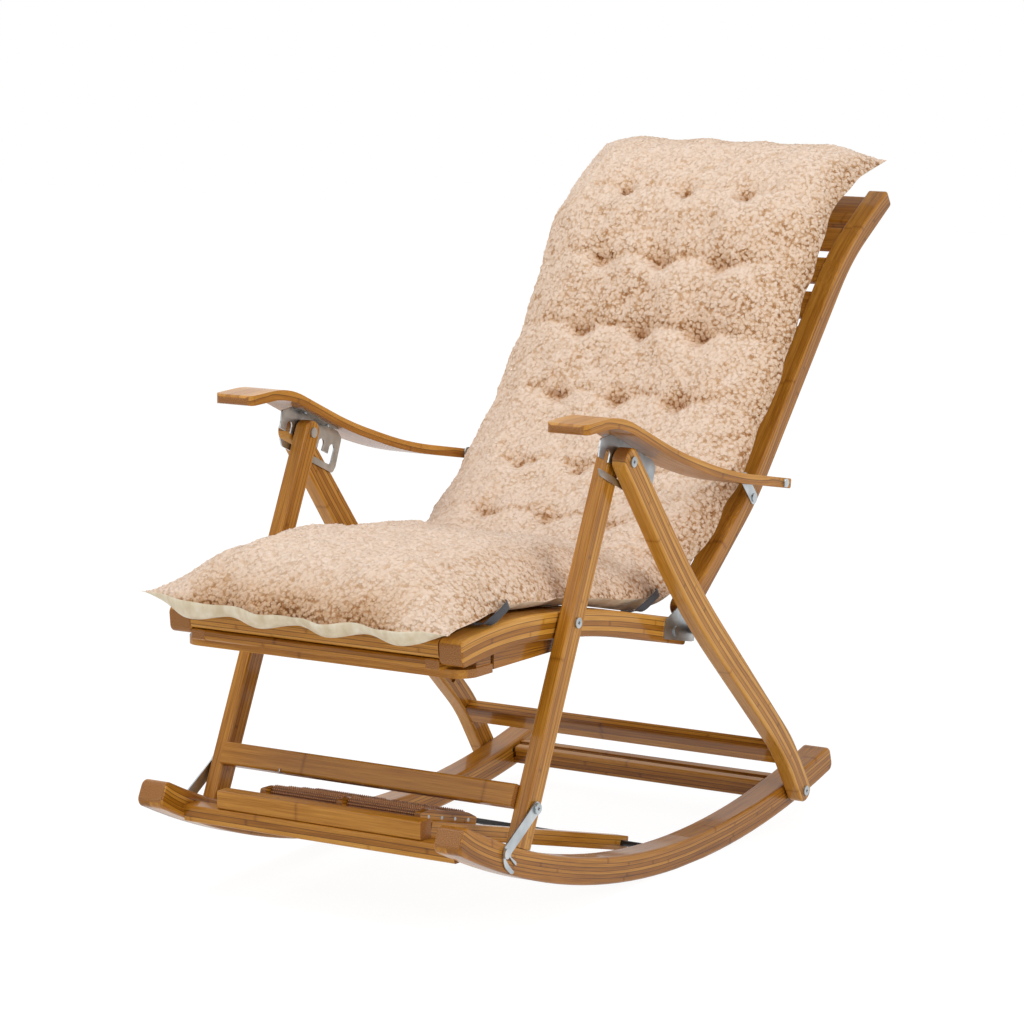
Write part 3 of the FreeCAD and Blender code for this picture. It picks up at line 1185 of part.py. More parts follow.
def build_pad_seat():
    def place(distance):
        point, along = path_at(SEAT_RUNS, distance) if distance > 0 else (add(SEAT_RAIL_PATH[0], unit(SEAT_RAIL_PATH[0], SEAT_RAIL_PATH[1]), distance), unit(SEAT_RAIL_PATH[0], SEAT_RAIL_PATH[1]))
        return add(point, left(along), 0.5 * SEAT_RAIL_DEPTH + PAD_LIE), along

    total = path_length(SEAT_RUNS)
    rows = [total - 62.0 - PAD_ROW_PITCH * k for k in range(12)]
    rows = sorted(r for r in rows if r > -PAD_SEAT_OVERHANG + 0.4 * PAD_ROW_PITCH)
    return build_pad(place, -PAD_SEAT_OVERHANG, total - 4.0, rows, 0.0, 34.0, seat_fullness)


def build_pad_back():
    def place(distance):
        point, along = path_at(BACK_RUNS, distance)
        lift = PAD_LIE + PAD_HEAD_LIFT * head_share(distance)
        return add(point, left(along), 0.5 * BACK_RAIL_DEPTH + lift), along

    total = path_length(BACK_RUNS)
    rows = [total - PAD_HEAD_ROW - PAD_BACK_PITCH * k for k in range(12)]
    rows = sorted(r for r in rows if r > 0.45 * PAD_ROW_PITCH + 24.0)
    return build_pad(place, 26.0, total + PAD_TOP_OVERHANG, rows, -17.0, 0.0, back_fullness)


def pair(shape):
    return Part.makeCompound([shape, mirrored(shape)])


def build_all():
    nodes = {}

    def both(name, shape):
        nodes[name + "_right"] = shape
        nodes[name + "_left"] = mirrored(shape)

    both("rocker", build_rocker())
    nodes["front_cross_rail"] = build_front_cross_rail()
    nodes["rear_cross_rail"] = build_rear_cross_rail()
    nodes["pedal_rod"] = build_pedal_rod()
    nodes["latch_studs"] = pair(build_latch_stud())
    both("rear_leg", build_rear_leg())
    nodes["rear_leg_crossbar"] = build_rear_bar()
    nodes["stay_rod"] = build_stay_rod()
    nodes["rear_pivot_bolts"] = pair(build_rear_bolt())
    nodes["top_bolts_outer"] = pair(build_top_bolt_outer())
    both("front_leg", build_front_leg())
    nodes["front_leg_crossbar"] = build_front_bar()
    nodes["top_bolts_inner"] = pair(build_top_bolt_inner())
    nodes["latch_pivots"] = pair(build_latch_pivot())
    both("latch_link", build_latch_link())
    both("seat_rail", build_seat_rail())
    nodes["seat_front_rail"] = build_seat_front_rail()
    nodes["seat_rear_rail"] = build_seat_rear_rail()
    nodes["seat_slats"] = build_seat_slats()
    nodes["seat_board"] = build_seat_board()
    nodes["footrest_guides"] = Part.makeCompound([build_board_hangers(), build_footrest_guides()])
    nodes["seat_bolts"] = Part.makeCompound([pair(build_seat_bolt()), pair(build_hook_bolt())])
    both("hook_plate", build_hook_plate())
    nodes["footrest_front"] = build_footrest_front()
    nodes["footrest_sides"] = pair(build_footrest_side())
    nodes["footrest_slats"] = build_footrest_slats()
    nodes["back_pivot_pins"] = pair(build_back_bolt())
    both("back_rail", build_back_rail())
    nodes["back_top_rail"] = build_back_top_rail()
    nodes["back_lower_rail"] = build_back_lower_rail()
    nodes["back_slats"] = build_back_slats()
    nodes["arm_link_bolts"] = pair(build_arm_link_bolt())
    both("arm_link", build_arm_link())
    both("armrest", build_armrest())
    both("arm_bracket", build_arm_bracket())
    nodes["pedal_front_rail"] = build_pedal_front()
    nodes["pedal_sides"] = pair(build_pedal_side())
    nodes["pedal_slats"] = build_pedal_slats()
    nodes["roller_plates"] = build_end_plates()
    nodes["roller_axles"] = build_axles()
    for row in range(ROLLER_ROWS):
        nodes["roller_right_%d" % (row + 1)] = build_roller(row, 1)
        nodes["roller_left_%d" % (row + 1)] = build_roller(row, -1)
    nodes["pad_seat"] = build_pad_seat()
    nodes["pad_back"] = build_pad_back()
    return nodes


def main():
    os.makedirs("parts", exist_ok=True)
    nodes = build_all()
    box = FreeCAD.BoundBox()
    for shape in nodes.values():
        box.add(shape.optimalBoundingBox(False))
    shift = FreeCAD.Vector(0.0, -0.5 * (box.YMin + box.YMax), -box.ZMin)
    for name, shape in nodes.items():
        moved = shape.copy()
        moved.translate(shift)
        moved.exportStep("parts/%s.step" % name)
    print("nodes", len(nodes), "size %.1f x %.1f x %.1f" % (box.XLength, box.YLength, box.ZLength))
    points = {
        "rear_pivot": REAR_PIVOT, "top": TOP, "seat_pivot": SEAT_PIVOT, "back_pivot": BACK_PIVOT,
        "arm_pivot": ARM_PIVOT, "arm_anchor": arm_anchor(), "hook_bolt": hook_bolt_point(), "stay": STAY, "pedal_rod": PEDAL_ROD, "latch_pivot": LATCH_PIVOT,
        "latch_stud": LATCH_STUD, "flat": (ROCKER_LOWEST_Y, box.ZMin),
    }
    for row in range(ROLLER_ROWS):
        points["roller_%d" % (row + 1)] = pedal_point(unit_start() - (row + 0.5) * ROLLER_PITCH, roller_height())
    for name, point in points.items():
        print("%-12s y %9.4f z %9.4f" % (name, point[0] + shift.y, point[1] + shift.z))


main()
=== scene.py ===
# %% [markdown]
# # A folding rocking chair in bamboo, with a long fleece cushion
# The chair's wooden and steel parts come ready-made as a fixed frame, in metres, with the floor at z = 0 and the
# sitter facing -Y. This file gives each part its finish, adds the soft cushion with its ties and the smallest
# fittings, and lights and frames the whole. Lengths below are written in millimetres, as on a drawing, and turned to
# metres where a mesh is made.

# %% Load the fixed frame
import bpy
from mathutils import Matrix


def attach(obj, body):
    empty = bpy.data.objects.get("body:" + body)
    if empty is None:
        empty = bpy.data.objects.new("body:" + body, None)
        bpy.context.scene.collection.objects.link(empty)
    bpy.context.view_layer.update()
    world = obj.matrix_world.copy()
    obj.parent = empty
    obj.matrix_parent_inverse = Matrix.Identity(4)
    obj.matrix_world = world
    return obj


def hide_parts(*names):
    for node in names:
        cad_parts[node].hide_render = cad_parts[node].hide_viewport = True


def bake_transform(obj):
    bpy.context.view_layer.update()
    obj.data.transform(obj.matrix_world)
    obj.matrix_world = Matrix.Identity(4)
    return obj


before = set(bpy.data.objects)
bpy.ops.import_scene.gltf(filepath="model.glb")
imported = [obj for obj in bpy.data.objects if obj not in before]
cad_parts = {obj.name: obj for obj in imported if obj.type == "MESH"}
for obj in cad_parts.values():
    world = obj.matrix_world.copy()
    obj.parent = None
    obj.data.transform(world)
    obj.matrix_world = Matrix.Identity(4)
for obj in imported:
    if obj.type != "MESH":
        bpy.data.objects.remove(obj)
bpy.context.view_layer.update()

# %% [markdown]
# Everything that follows works with whole arrays, so numpy does the sums and bpy only receives the results.

# %% Tools from Blender
import bpy
import numpy as np
from mathutils import Vector
from mathutils.bvhtree import BVHTree
scene = bpy.context.scene
MM = 0.001

# %% [markdown]
# ## The camera
# The photograph was taken with a long lens from the chair's front right, a little above the seat. A long lens keeps
# parallel edges nearly parallel, so its distance matters more than its angle; both were worked out from pairs of
# matching points on the two sides of the chair.

# %% Camera
azimuth, elevation, distance = np.radians(32.87), np.radians(9.06), 5.443
looked_at = Vector((-0.1115, 0.0968, 0.4325))
towards_camera = Vector((np.sin(azimuth) * np.cos(elevation), -np.cos(azimuth) * np.cos(elevation),
                         np.sin(elevation)))
camera = bpy.data.objects.new("camera", bpy.data.cameras.new("camera"))
scene.collection.objects.link(camera)
camera.data.lens, camera.data.sensor_width = 136.5, 36.0
camera.location = looked_at + towards_camera * distance
camera.rotation_euler = towards_camera.to_track_quat("Z", "Y").to_euler()
scene.camera = camera
print("camera at", tuple(round(c, 3) for c in camera.location))

# %% [markdown]
# ## Three helpers for every material
# Colours are noted as they are seen on a screen, in hex. The renderer counts light, so each is turned from the
# screen's curve to linear. A material is a small graph of nodes. One helper adds a node of any kind, sets it and
# joins it to others, and one starts a material.

# %% Colour and node helpers
def linear(hex_colour):
    """sRGB hex to linear: c / 12.92 below 0.04045, else ((c + 0.055) / 1.055) to the power 2.4."""
    c = np.array([int(hex_colour[i:i + 2], 16) for i in (1, 3, 5)]) / 255.0
    c = np.where(c <= 0.04045, c / 12.92, ((c + 0.055) / 1.055) ** 2.4)
    return (*c, 1.0)


def add(tree, kind, inputs=(), stops=(), **settings):
    """Adds one node, sets it and joins it to others.
    kind is the node's type without "ShaderNode" before it, and settings are the node's own attributes.
    inputs is a list in the order of its sockets, or a dictionary by their names. Each value is a number,
    a colour, another node's output, or a whole node, which stands for its first output in use.
    stops are the (position, hex colour) pairs of a colour ramp."""
    node = tree.nodes.new(kind if kind.startswith("Node") else "ShaderNode" + kind)
    for name, value in settings.items():
        setattr(node, name, value)
    for key, value in inputs.items() if isinstance(inputs, dict) else enumerate(inputs):
        if isinstance(value, bpy.types.Node):
            value = next(output for output in value.outputs if output.enabled)
        if isinstance(value, bpy.types.NodeSocket):
            tree.links.new(value, node.inputs[key])
        else:
            node.inputs[key].default_value = value
    if stops:
        elements = node.color_ramp.elements
        while len(elements) < len(stops):
            elements.new(0.5)
        for element, (position, colour) in zip(elements, stops):
            element.position, element.color = position, linear(colour)
    return node


def new_material(name):
    """A material without nodes yet, and its tree."""
    material = bpy.data.materials.new(name)
    material.use_nodes = True
    material.node_tree.nodes.clear()
    return material, material.node_tree


print("white is", linear("#FFFFFF")[:3])

# %% [markdown]
# ## Four helpers for every new mesh
# A mesh is a list of points and a list of faces, each face naming its corners by number.
# Most pieces here are grids of points, so one helper lists the squares of a grid. Where a grid closes on itself,
# as round a ring, its first row or column of numbers is repeated behind the last.
# Two more helpers store a value at every point, and the flat place of every point, for the materials to read.

# %% Mesh helpers
def new_piece(name, points, faces, smooth=True):
    """An object at the origin, made of points in metres and of faces."""
    mesh = bpy.data.meshes.new(name)
    mesh.from_pydata(points, [], faces)
    mesh.polygons.foreach_set("use_smooth", [smooth] * len(faces))
    piece = bpy.data.objects.new(name, mesh)
    scene.collection.objects.link(piece)
    return piece


def squares(number, flip=False):
    """The corners of every square of a grid of point numbers: down, right, up and back, or with flip the other way
    round."""
    corners = [number[:-1, :-1], number[1:, :-1], number[1:, 1:], number[:-1, 1:]]
    return np.stack([corners[k] for k in ((0, 3, 2, 1) if flip else (0, 1, 2, 3))], -1).reshape(-1, 4)


def keep_values(piece, name, values):
    """Stores one number per point, which an Attribute node of the same name reads."""
    piece.data.attributes.new(name, "FLOAT", "POINT").data.foreach_set("value", values.ravel().astype(np.float32))


def lay_cloth_map(piece, flat):
    """Stores each point's place on the flat cloth, in metres, as the UV map "cloth", which the weave follows."""
    corner = np.empty(len(piece.data.loops), np.int32)
    piece.data.loops.foreach_get("vertex_index", corner)
    piece.data.uv_layers.new(name="cloth").data.foreach_set("uv", flat[corner].ravel().astype(np.float32))


print("a grid of 3 by 3 points has", len(squares(np.arange(9).reshape(3, 3))), "squares")

# %% [markdown]
# ## Light and floor
# The chair stood in a white studio with large soft lamps, so its shadows are faint and its lacquer mirrors white
# walls. The world gives most of the light. To the camera, and in reflections, it shows plain white. Three large area
# lamps add a gentle direction. The floor is a pale matt sheet that also glows a little to the camera, so it meets the
# white background but still keeps the chair's shadow.

# %% World
studio_strength, white_strength = 0.52, 1.0


def plain_white_rays(tree):
    """1 for the rays that should meet plain white: those from the camera, in a mirror or through glass."""
    path = add(tree, "LightPath").outputs
    seen = add(tree, "Math", [path["Is Camera Ray"], path["Is Glossy Ray"]], operation="MAXIMUM")
    return add(tree, "Math", [seen, path["Is Transmission Ray"]], operation="MAXIMUM")


scene.view_settings.view_transform = "Standard"
world = bpy.data.worlds.new("white_studio")
scene.world = world
world.use_nodes = True
sky = world.node_tree
sky.nodes.clear()
seen = plain_white_rays(sky)
soft = add(sky, "Background", {"Color": linear("#FFFFFF"), "Strength": studio_strength})
white = add(sky, "Background", {"Color": linear("#FFFFFF"), "Strength": white_strength})
add(sky, "OutputWorld", [add(sky, "MixShader", [seen, soft, white])])
print("world set")

# %% Lamps
def area_lamp(name, place, aim, size, power):
    """A square lamp of the given side in metres, turned so that it shines from place to aim."""
    lamp = bpy.data.objects.new(name, bpy.data.lights.new(name, "AREA"))
    scene.collection.objects.link(lamp)
    lamp.data.size, lamp.data.energy = size, power
    lamp.location = place
    lamp.rotation_euler = (Vector(place) - Vector(aim)).to_track_quat("Z", "Y").to_euler()
    return lamp


area_lamp("lamp_above", (-0.6, -0.9, 3.4), (0.0, 0.1, 0.4), 2.6, 52.0)
area_lamp("lamp_front", (-1.4, -3.4, 2.0), (0.0, 0.0, 0.5), 2.2, 14.0)
area_lamp("lamp_side", (3.4, -0.6, 1.5), (0.0, 0.1, 0.4), 2.0, 38.0)

# %% Floor
half_floor, paper_share, paper_glow = 9.0, 0.84, 1.12
corners = [(x * half_floor, y * half_floor, 0) for x, y in ((-1, -1), (1, -1), (1, 1), (-1, 1))]
floor = new_piece("floor", corners, [(0, 1, 2, 3)], smooth=False)
paper, tree = new_material("matt_white_paper")
share = add(tree, "Math", [plain_white_rays(tree), paper_share], operation="MULTIPLY")
matt = add(tree, "BsdfDiffuse", {"Color": linear("#F2F1EF")})
glow = add(tree, "Emission", {"Color": linear("#FFFFFF"), "Strength": paper_glow})
add(tree, "OutputMaterial", [add(tree, "MixShader", [share, matt, glow])])
floor.data.materials.append(paper)
print("floor", tuple(floor.dimensions))

# %% [markdown]
# ## Bamboo, the way it is glued
# Bamboo furniture is made of thin strips: each is steamed to a caramel brown, glued to its neighbours in layers, bent
# in a mould and lacquered. So a bent leg shows five or six fine glue lines on its side, all running with the bend,
# each layer a slightly different brown, with short darker bands where the stalk had its joints. The lines must follow
# the bend exactly, or the wood looks printed. To know the bend, the next cell measures each part: it slices the part
# along its length and finds the middle of every slice.

# %% Measure a bend
def points_of(name):
    """All points of a part of the frame, in metres."""
    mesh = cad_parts[name].data
    flat = np.empty(len(mesh.vertices) * 3, np.float32)
    mesh.vertices.foreach_get("co", flat)
    return flat.reshape(-1, 3).astype(float)


def bend_of(name, slices=30, degree=7, stations=17):
    """The centre line of a part seen from the side. u runs along the part and v across it. In each slice of u the
    centre lies halfway between the lowest and highest v. Slices much thinner or thicker than usual miss an edge or
    cut a tip, so they are left out, and a polynomial joins the other centres. The slope is its derivative."""
    yz = points_of(name)[:, 1:]
    axis = np.linalg.svd(yz - yz.mean(0), full_matrices=False)[2][0]
    axis = axis if axis[0] >= 0 else -axis
    turn = np.arctan2(axis[1], axis[0])
    u, v = yz @ axis, yz @ np.array([-axis[1], axis[0]])
    edges = np.linspace(u.min(), u.max(), slices + 1)
    index = np.clip(np.digitize(u, edges) - 1, 0, slices - 1)
    low, high = np.full(slices, np.inf), np.full(slices, -np.inf)
    np.minimum.at(low, index, v)
    np.maximum.at(high, index, v)
    depth = high - low
    usual = np.median(depth[np.isfinite(depth) & (depth > 0.25 * np.nanmax(depth[np.isfinite(depth)]))])
    good = np.isfinite(depth) & (depth > 0.72 * usual) & (depth < 1.5 * usual)
    middle = 0.5 * (edges[1:] + edges[:-1])
    line = np.polynomial.Polynomial.fit(middle[good], 0.5 * (low[good] + high[good]),
                                        min(degree, max(1, good.sum() // 3)))
    at = np.linspace(u.min(), u.max(), stations)
    wide = np.abs(points_of(name)[:, 0])
    slim = usual - np.abs(line.deriv()(at)).mean() * (u.max() - u.min()) / slices
    return {"turn": turn, "u": at, "v": line(at), "slope": line.deriv()(at), "depth": max(slim, 0.8 * usual),
            "inner": wide.min(), "width": np.ptp(wide)}


for name in ("rocker_right", "rear_leg_right", "front_leg_right", "seat_rail_right", "back_rail_right",
             "armrest_right"):
    b = bend_of(name)
    print(name, "turned", round(np.degrees(b["turn"]), 1), "deg, depth", round(b["depth"] * 1000, 1), "mm, bow",
          round(np.ptp(b["v"]) * 1000, 1), "mm")

# %% [markdown]
# The look of the wood itself is the same for every part, so it is one node group with three lengths as inputs, in
# millimetres: along the fibres, across the layers and through the width. The counts of layers and strips keep the
# outermost ones whole. It could be painted from a picture, but a picture would repeat and stretch. A real layer is 6
# to 7 mm thick and a strip 20 mm wide. The stalk's joints come about every 280 mm, at a different place in each
# strip. Fibres are a tenth of a millimetre, too fine for the render, so they are drawn about 0.8 mm wide and 60 mm
# long.

# %% The bamboo group
grain = bpy.data.node_groups.new("glued_bamboo", "ShaderNodeTree")
for name in ("along", "across", "through", "layer", "strip", "layers", "strips", "end", "tone"):
    grain.interface.new_socket(name, in_out="INPUT", socket_type="NodeSocketFloat")
for name, kind in (("colour", "NodeSocketColor"), ("roughness", "NodeSocketFloat"), ("height", "NodeSocketFloat")):
    grain.interface.new_socket(name, in_out="OUTPUT", socket_type=kind)
given = add(grain, "NodeGroupInput").outputs
layer_depth, strip_width = 6.5, 20.0


def kept_whole(position, count):
    """A position in the stack of layers or strips, held half a layer inside both ends, so that no glue line falls
    on a face."""
    lowest = add(grain, "Math", [position, 0.5], operation="MAXIMUM")
    highest = add(grain, "Math", [given[count], 0.5], operation="SUBTRACT")
    return add(grain, "Math", [lowest, highest], operation="MINIMUM")


layer_at = add(grain, "Math", [given["across"], given["layer"]], operation="DIVIDE")
strip_at = add(grain, "Math", [given["through"], given["strip"]], operation="DIVIDE")
layer_at, strip_at = kept_whole(layer_at, "layers"), kept_whole(strip_at, "strips")
which = [add(grain, "Math", [at], operation="FLOOR") for at in (layer_at, strip_at)]
shade = add(grain, "TexWhiteNoise", [add(grain, "CombineXYZ", [*which, given["tone"]])], noise_dimensions="3D")
print("each strip has its own shade")

# %% Fibres, glue lines and joints of the stalk
joint_spacing, glue_line, strip_line = 280.0, 0.75, 0.6
shifted = add(grain, "Math", [shade, 900.0, given["along"]], operation="MULTIPLY_ADD")


def stretched_place(per_mm_along, per_mm_across):
    """A place for a noise pattern whose spots are long along the fibres: each length times its own count per mm."""
    lengths = ((shifted, per_mm_along), (given["across"], per_mm_across), (given["through"], per_mm_across))
    return add(grain, "CombineXYZ", [add(grain, "Math", list(pair), operation="MULTIPLY") for pair in lengths])


fibre = add(grain, "TexNoise", {"Vector": stretched_place(0.016, 1.2), "Scale": 1.0, "Detail": 3.0, "Roughness": 0.6})
cloud = add(grain, "TexNoise", {"Vector": stretched_place(0.006, 0.16), "Scale": 1.0, "Detail": 2.0})


def line_mask(tree, position, width_share):
    """1 on the line where a whole number is crossed, 0 elsewhere: 1 - distance to the nearest whole number / half
    the width."""
    off = position
    for operation, inputs in (("ADD", [0.5]), ("FRACT", []), ("SUBTRACT", [0.5]), ("ABSOLUTE", []),
                              ("DIVIDE", [width_share])):
        off = add(tree, "Math", [off, *inputs], operation=operation)
    return add(tree, "Math", [1.0, off], operation="SUBTRACT", use_clamp=True)


glue = line_mask(grain, layer_at, add(grain, "Math", [glue_line, given["layer"]], operation="DIVIDE"))
seam = line_mask(grain, strip_at, add(grain, "Math", [strip_line, given["strip"]], operation="DIVIDE"))
seam = add(grain, "Math", [seam, 0.6], operation="MULTIPLY")
joint_at = add(grain, "Math", [given["along"], joint_spacing], operation="DIVIDE")
joint_at = add(grain, "Math", [joint_at, add(grain, "Math", [shade, 7.3], operation="MULTIPLY")], operation="ADD")
ring, notch = line_mask(grain, joint_at, 0.016), line_mask(grain, joint_at, 0.004)
print("pattern nodes:", len(grain.nodes))

# %% [markdown]
# The shade of each spot is a weighted sum: the strip's own shade, long soft clouds and fine fibres. A ramp turns the
# sum to caramel browns read off the photograph. Glue lines and the joints' notches are darker, and cut ends, where
# the fibres are seen as dots and soak up more lacquer, are darker still.

# %% Colours of the bamboo group
level = add(grain, "Math", [shade, 0.34], operation="MULTIPLY")
level = add(grain, "Math", [cloud, 0.42, level], operation="MULTIPLY_ADD")
level = add(grain, "Math", [fibre, 0.66, level], operation="MULTIPLY_ADD")
level = add(grain, "Math", [level, 0.24], operation="SUBTRACT")
# Each part's given value lifts or lowers all its browns: partly its own shade of bamboo, partly painted light and
# shade.
level = add(grain, "Math", [given["tone"], 0.22, level], operation="MULTIPLY_ADD")
level = add(grain, "Math", [ring, -0.12, level], operation="MULTIPLY_ADD", use_clamp=True)
caramel_browns = [(0.0, "#3F2004"), (0.26, "#734209"), (0.50, "#A66A17"), (0.74, "#CA8E36"), (1.0, "#E3B263")]
browns = add(grain, "ValToRGB", [level], stops=caramel_browns)
dark = [add(grain, "Math", [line, share], operation="MULTIPLY") for line, share in ((glue, 0.85), (seam, 0.5))]
dark = add(grain, "Math", dark, operation="MAXIMUM")
dark = add(grain, "Math", [dark, add(grain, "Math", [notch, 0.22], operation="MULTIPLY")], operation="MAXIMUM")
lined = add(grain, "Mix", {"Factor": dark, "A": browns, "B": linear("#3E2008")}, data_type="RGBA")
on_the_cut = add(grain, "CombineXYZ", [0.0, given["across"], given["through"]])
dots = add(grain, "TexNoise", {"Vector": on_the_cut, "Scale": 0.9, "Detail": 2.0})
cut = add(grain, "ValToRGB", [dots], stops=[(0.3, "#6E3F17"), (0.5, "#9A652F"), (0.7, "#B47D44")])
ended = add(grain, "Mix", {"Factor": given["end"], "A": lined, "B": cut}, data_type="RGBA")
matted = add(grain, "Math", [fibre, 0.16, 0.30], operation="MULTIPLY_ADD")
matted = add(grain, "Math", [given["end"], 0.2, matted], operation="MULTIPLY_ADD")
relief = [add(grain, "Math", [part, share], operation="MULTIPLY") for part, share in ((fibre, 0.35), (dark, 0.8))]
relief = add(grain, "Math", relief, operation="SUBTRACT")
add(grain, "NodeGroupOutput", {"colour": ended, "roughness": matted, "height": relief})
print("bamboo group ready")

# %% [markdown]
# The next cell puts the group into a finished material: lacquer is a clear coat, about a tenth of a millimetre
# thick and smooth, over wood whose own surface is rather matt.

# %% Lacquered bamboo
def lacquered(tree, **lengths):
    """Ends a material: the group of glued bamboo, given its inputs by their names, under a thin clear coat."""
    group = add(tree, "Group", lengths, node_tree=grain).outputs
    bump = add(tree, "Bump", {"Strength": 0.35, "Distance": 0.0004, "Height": group["height"]})
    wood = add(tree, "BsdfPrincipled", {"Base Color": group["colour"], "Roughness": group["roughness"],
                                        "Normal": bump, "Coat Weight": 0.4, "Coat Roughness": 0.08, "IOR": 1.5,
                                        "Specular IOR Level": 0.12})
    add(tree, "OutputMaterial", [wood])


def bent_bamboo(name, measured, tone, layers=6):
    """Bamboo whose layers follow a measured bend: across = (v - centre(u)) times the cosine of the slope,
    where the centre and the slope are two curves over u. A face is a cut end where its normal runs with the bend."""
    material, tree = new_material(name)
    place = add(tree, "TexCoord")
    level = (-measured["turn"], 0.0, 0.0)
    turned = add(tree, "Mapping", {"Vector": place.outputs["Object"], "Rotation": level})
    x, u, v = add(tree, "SeparateXYZ", [turned]).outputs
    reach = add(tree, "MapRange", {"Value": u, "From Min": measured["u"][0], "From Max": measured["u"][-1]})
    found = {}
    for key in ("v", "slope"):
        values = measured[key]
        span = max(np.ptp(values), 1e-6)
        curve = add(tree, "FloatCurve", {"Value": reach})
        line = curve.mapping.curves[0]
        while len(line.points) < len(values):
            line.points.new(0.5, 0.5)
        for point, where, value in zip(line.points, np.linspace(0, 1, len(values)), (values - values.min()) / span):
            point.location = (where, value)
        curve.mapping.update()
        found[key] = add(tree, "Math", [curve, float(span), float(values.min())], operation="MULTIPLY_ADD")
    centre, slope = found["v"], found["slope"]
    cosine = add(tree, "Math", [slope, slope, 1.0], operation="MULTIPLY_ADD")
    cosine = add(tree, "Math", [cosine], operation="INVERSE_SQRT")
    offset = add(tree, "Math", [add(tree, "Math", [v, centre], operation="SUBTRACT"), cosine], operation="MULTIPLY")
    offset = add(tree, "Math", [offset, 1000.0], operation="MULTIPLY")
    facing = add(tree, "Mapping", {"Vector": place.outputs["Normal"], "Rotation": level}, vector_type="NORMAL")
    _, nu, nv = add(tree, "SeparateXYZ", [facing]).outputs
    with_bend = add(tree, "Math", [slope, nv, nu], operation="MULTIPLY_ADD")
    with_bend = add(tree, "Math", [with_bend, cosine], operation="MULTIPLY")
    with_bend = add(tree, "Math", [with_bend], operation="ABSOLUTE")
    end = add(tree, "Math", [with_bend, 0.72], operation="SUBTRACT")
    end = add(tree, "Math", [end, 8.0], operation="MULTIPLY", use_clamp=True)
    depth, width = 1000.0 * measured["depth"], 1000.0 * measured["width"]
    strips = max(1, round(width / strip_width))
    beside = add(tree, "Math", [add(tree, "Math", [x], operation="ABSOLUTE"), 1000.0], operation="MULTIPLY")
    beside = add(tree, "Math", [beside, 1000.0 * measured["inner"]], operation="SUBTRACT")
    lacquered(tree, along=add(tree, "Math", [u, 1000.0], operation="MULTIPLY"),
              across=add(tree, "Math", [offset, 0.5 * depth], operation="ADD"), through=beside,
              layer=depth / layers, strip=width / strips, layers=layers, strips=strips, end=end, tone=tone)
    return material


def dress(material, *nodes):
    """Gives every material slot of these parts the material."""
    for name in nodes:
        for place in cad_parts[name].material_slots:
            place.material = material


# The middle number of each part is partly its own shade of bamboo and partly painted highlight: the arms are set
# lighter for the sheen on their tops.
for part, tone, layers in (("rocker", 0.45, 6), ("rear_leg", 0.75, 6), ("front_leg", 0.4, 5),
                           ("seat_rail", 0.42, 5), ("back_rail", 0.5, 4), ("armrest", 0.7, 2)):
    material = bent_bamboo("lacquered_bamboo_" + part, bend_of(part + "_right"), tone, layers)
    dress(material, part + "_right", part + "_left")
print("bent parts dressed")

# %% [markdown]
# Cross rails, slats and boards are straight pieces whose fibres run from side to side of the chair. For each, the
# layers lie flat in its thickness. The short side rails of the sliding foot-rest and of the roller frame run from
# front to back, and take the first function with a straight line.

# %% Cross rails and slats
def cross_bamboo(name, node, tone):
    """Bamboo along X: the section's own longer direction, found from its points, is the strips' width, and the
    shorter one the layers'. A set of slats counts as one layer each, so its lines are left out."""
    yz = points_of(node)[:, 1:]
    axis = np.linalg.svd(yz - yz.mean(0), full_matrices=False)[2][0]
    wide, thick = yz @ axis * 1000.0, yz @ np.array([-axis[1], axis[0]]) * 1000.0
    one_piece = "slats" in node or "board" in node
    layers = 1 if one_piece else max(1, round(np.ptp(thick) / layer_depth))
    strips = 1 if one_piece else max(1, round(np.ptp(wide) / 21.0))
    material, tree = new_material(name)
    place = add(tree, "TexCoord")
    level = (-float(np.arctan2(axis[1], axis[0])), 0.0, 0.0)
    turned = add(tree, "Mapping", {"Vector": place.outputs["Object"], "Rotation": level})
    parts = add(tree, "SeparateXYZ", [turned]).outputs
    x, width, depth = (add(tree, "Math", [part, 1000.0], operation="MULTIPLY") for part in parts)
    sideways = add(tree, "Math", [add(tree, "SeparateXYZ", [place.outputs["Normal"]])], operation="ABSOLUTE")
    end = add(tree, "Math", [sideways, 0.75], operation="SUBTRACT")
    end = add(tree, "Math", [end, 8.0], operation="MULTIPLY", use_clamp=True)
    lacquered(tree, along=x, across=add(tree, "Math", [depth, float(thick.min())], operation="SUBTRACT"),
              through=add(tree, "Math", [width, float(wide.min())], operation="SUBTRACT"),
              layer=float(np.ptp(thick)) / layers, strip=float(np.ptp(wide)) / strips,
              layers=layers, strips=strips, end=end, tone=tone)
    return material


# These values are partly each part's own shade of bamboo and partly painted shade: the rear crossbar and the rear
# cross rail, which lie in shadow, are set darkest.
tones = {0.25: ["rear_leg_crossbar"], 0.3: ["rear_cross_rail"], 0.5: ["seat_front_rail"], 0.55: ["footrest_front"],
         0.35: ["front_cross_rail", "front_leg_crossbar", "seat_rear_rail", "back_top_rail", "back_lower_rail",
                "pedal_slats"],
         0.4: ["seat_board", "footrest_slats", "pedal_front_rail"], 0.45: ["seat_slats", "back_slats"]}
for tone, nodes in tones.items():
    for node in nodes:
        dress(cross_bamboo("lacquered_bamboo_" + node, node, tone), node)
for node, tone in (("pedal_sides", 0.4), ("footrest_sides", 0.35), ("footrest_guides", 0.3), ("roller_plates", 0.3)):
    dress(bent_bamboo("lacquered_bamboo_" + node, bend_of(node, degree=1), tone, 3), node)
print("straight parts dressed")

# %% [markdown]
# ## Steel
# The toothed arm brackets, hinge plates, latches and bolts are pressed or turned from steel and plated with bright
# zinc: a bluish grey, slightly cloudy mirror. Plating shows faint spangles 2 to 5 mm wide. The rods of the pedal and
# the stay are painted black, satin, with a fine orange-peel surface.

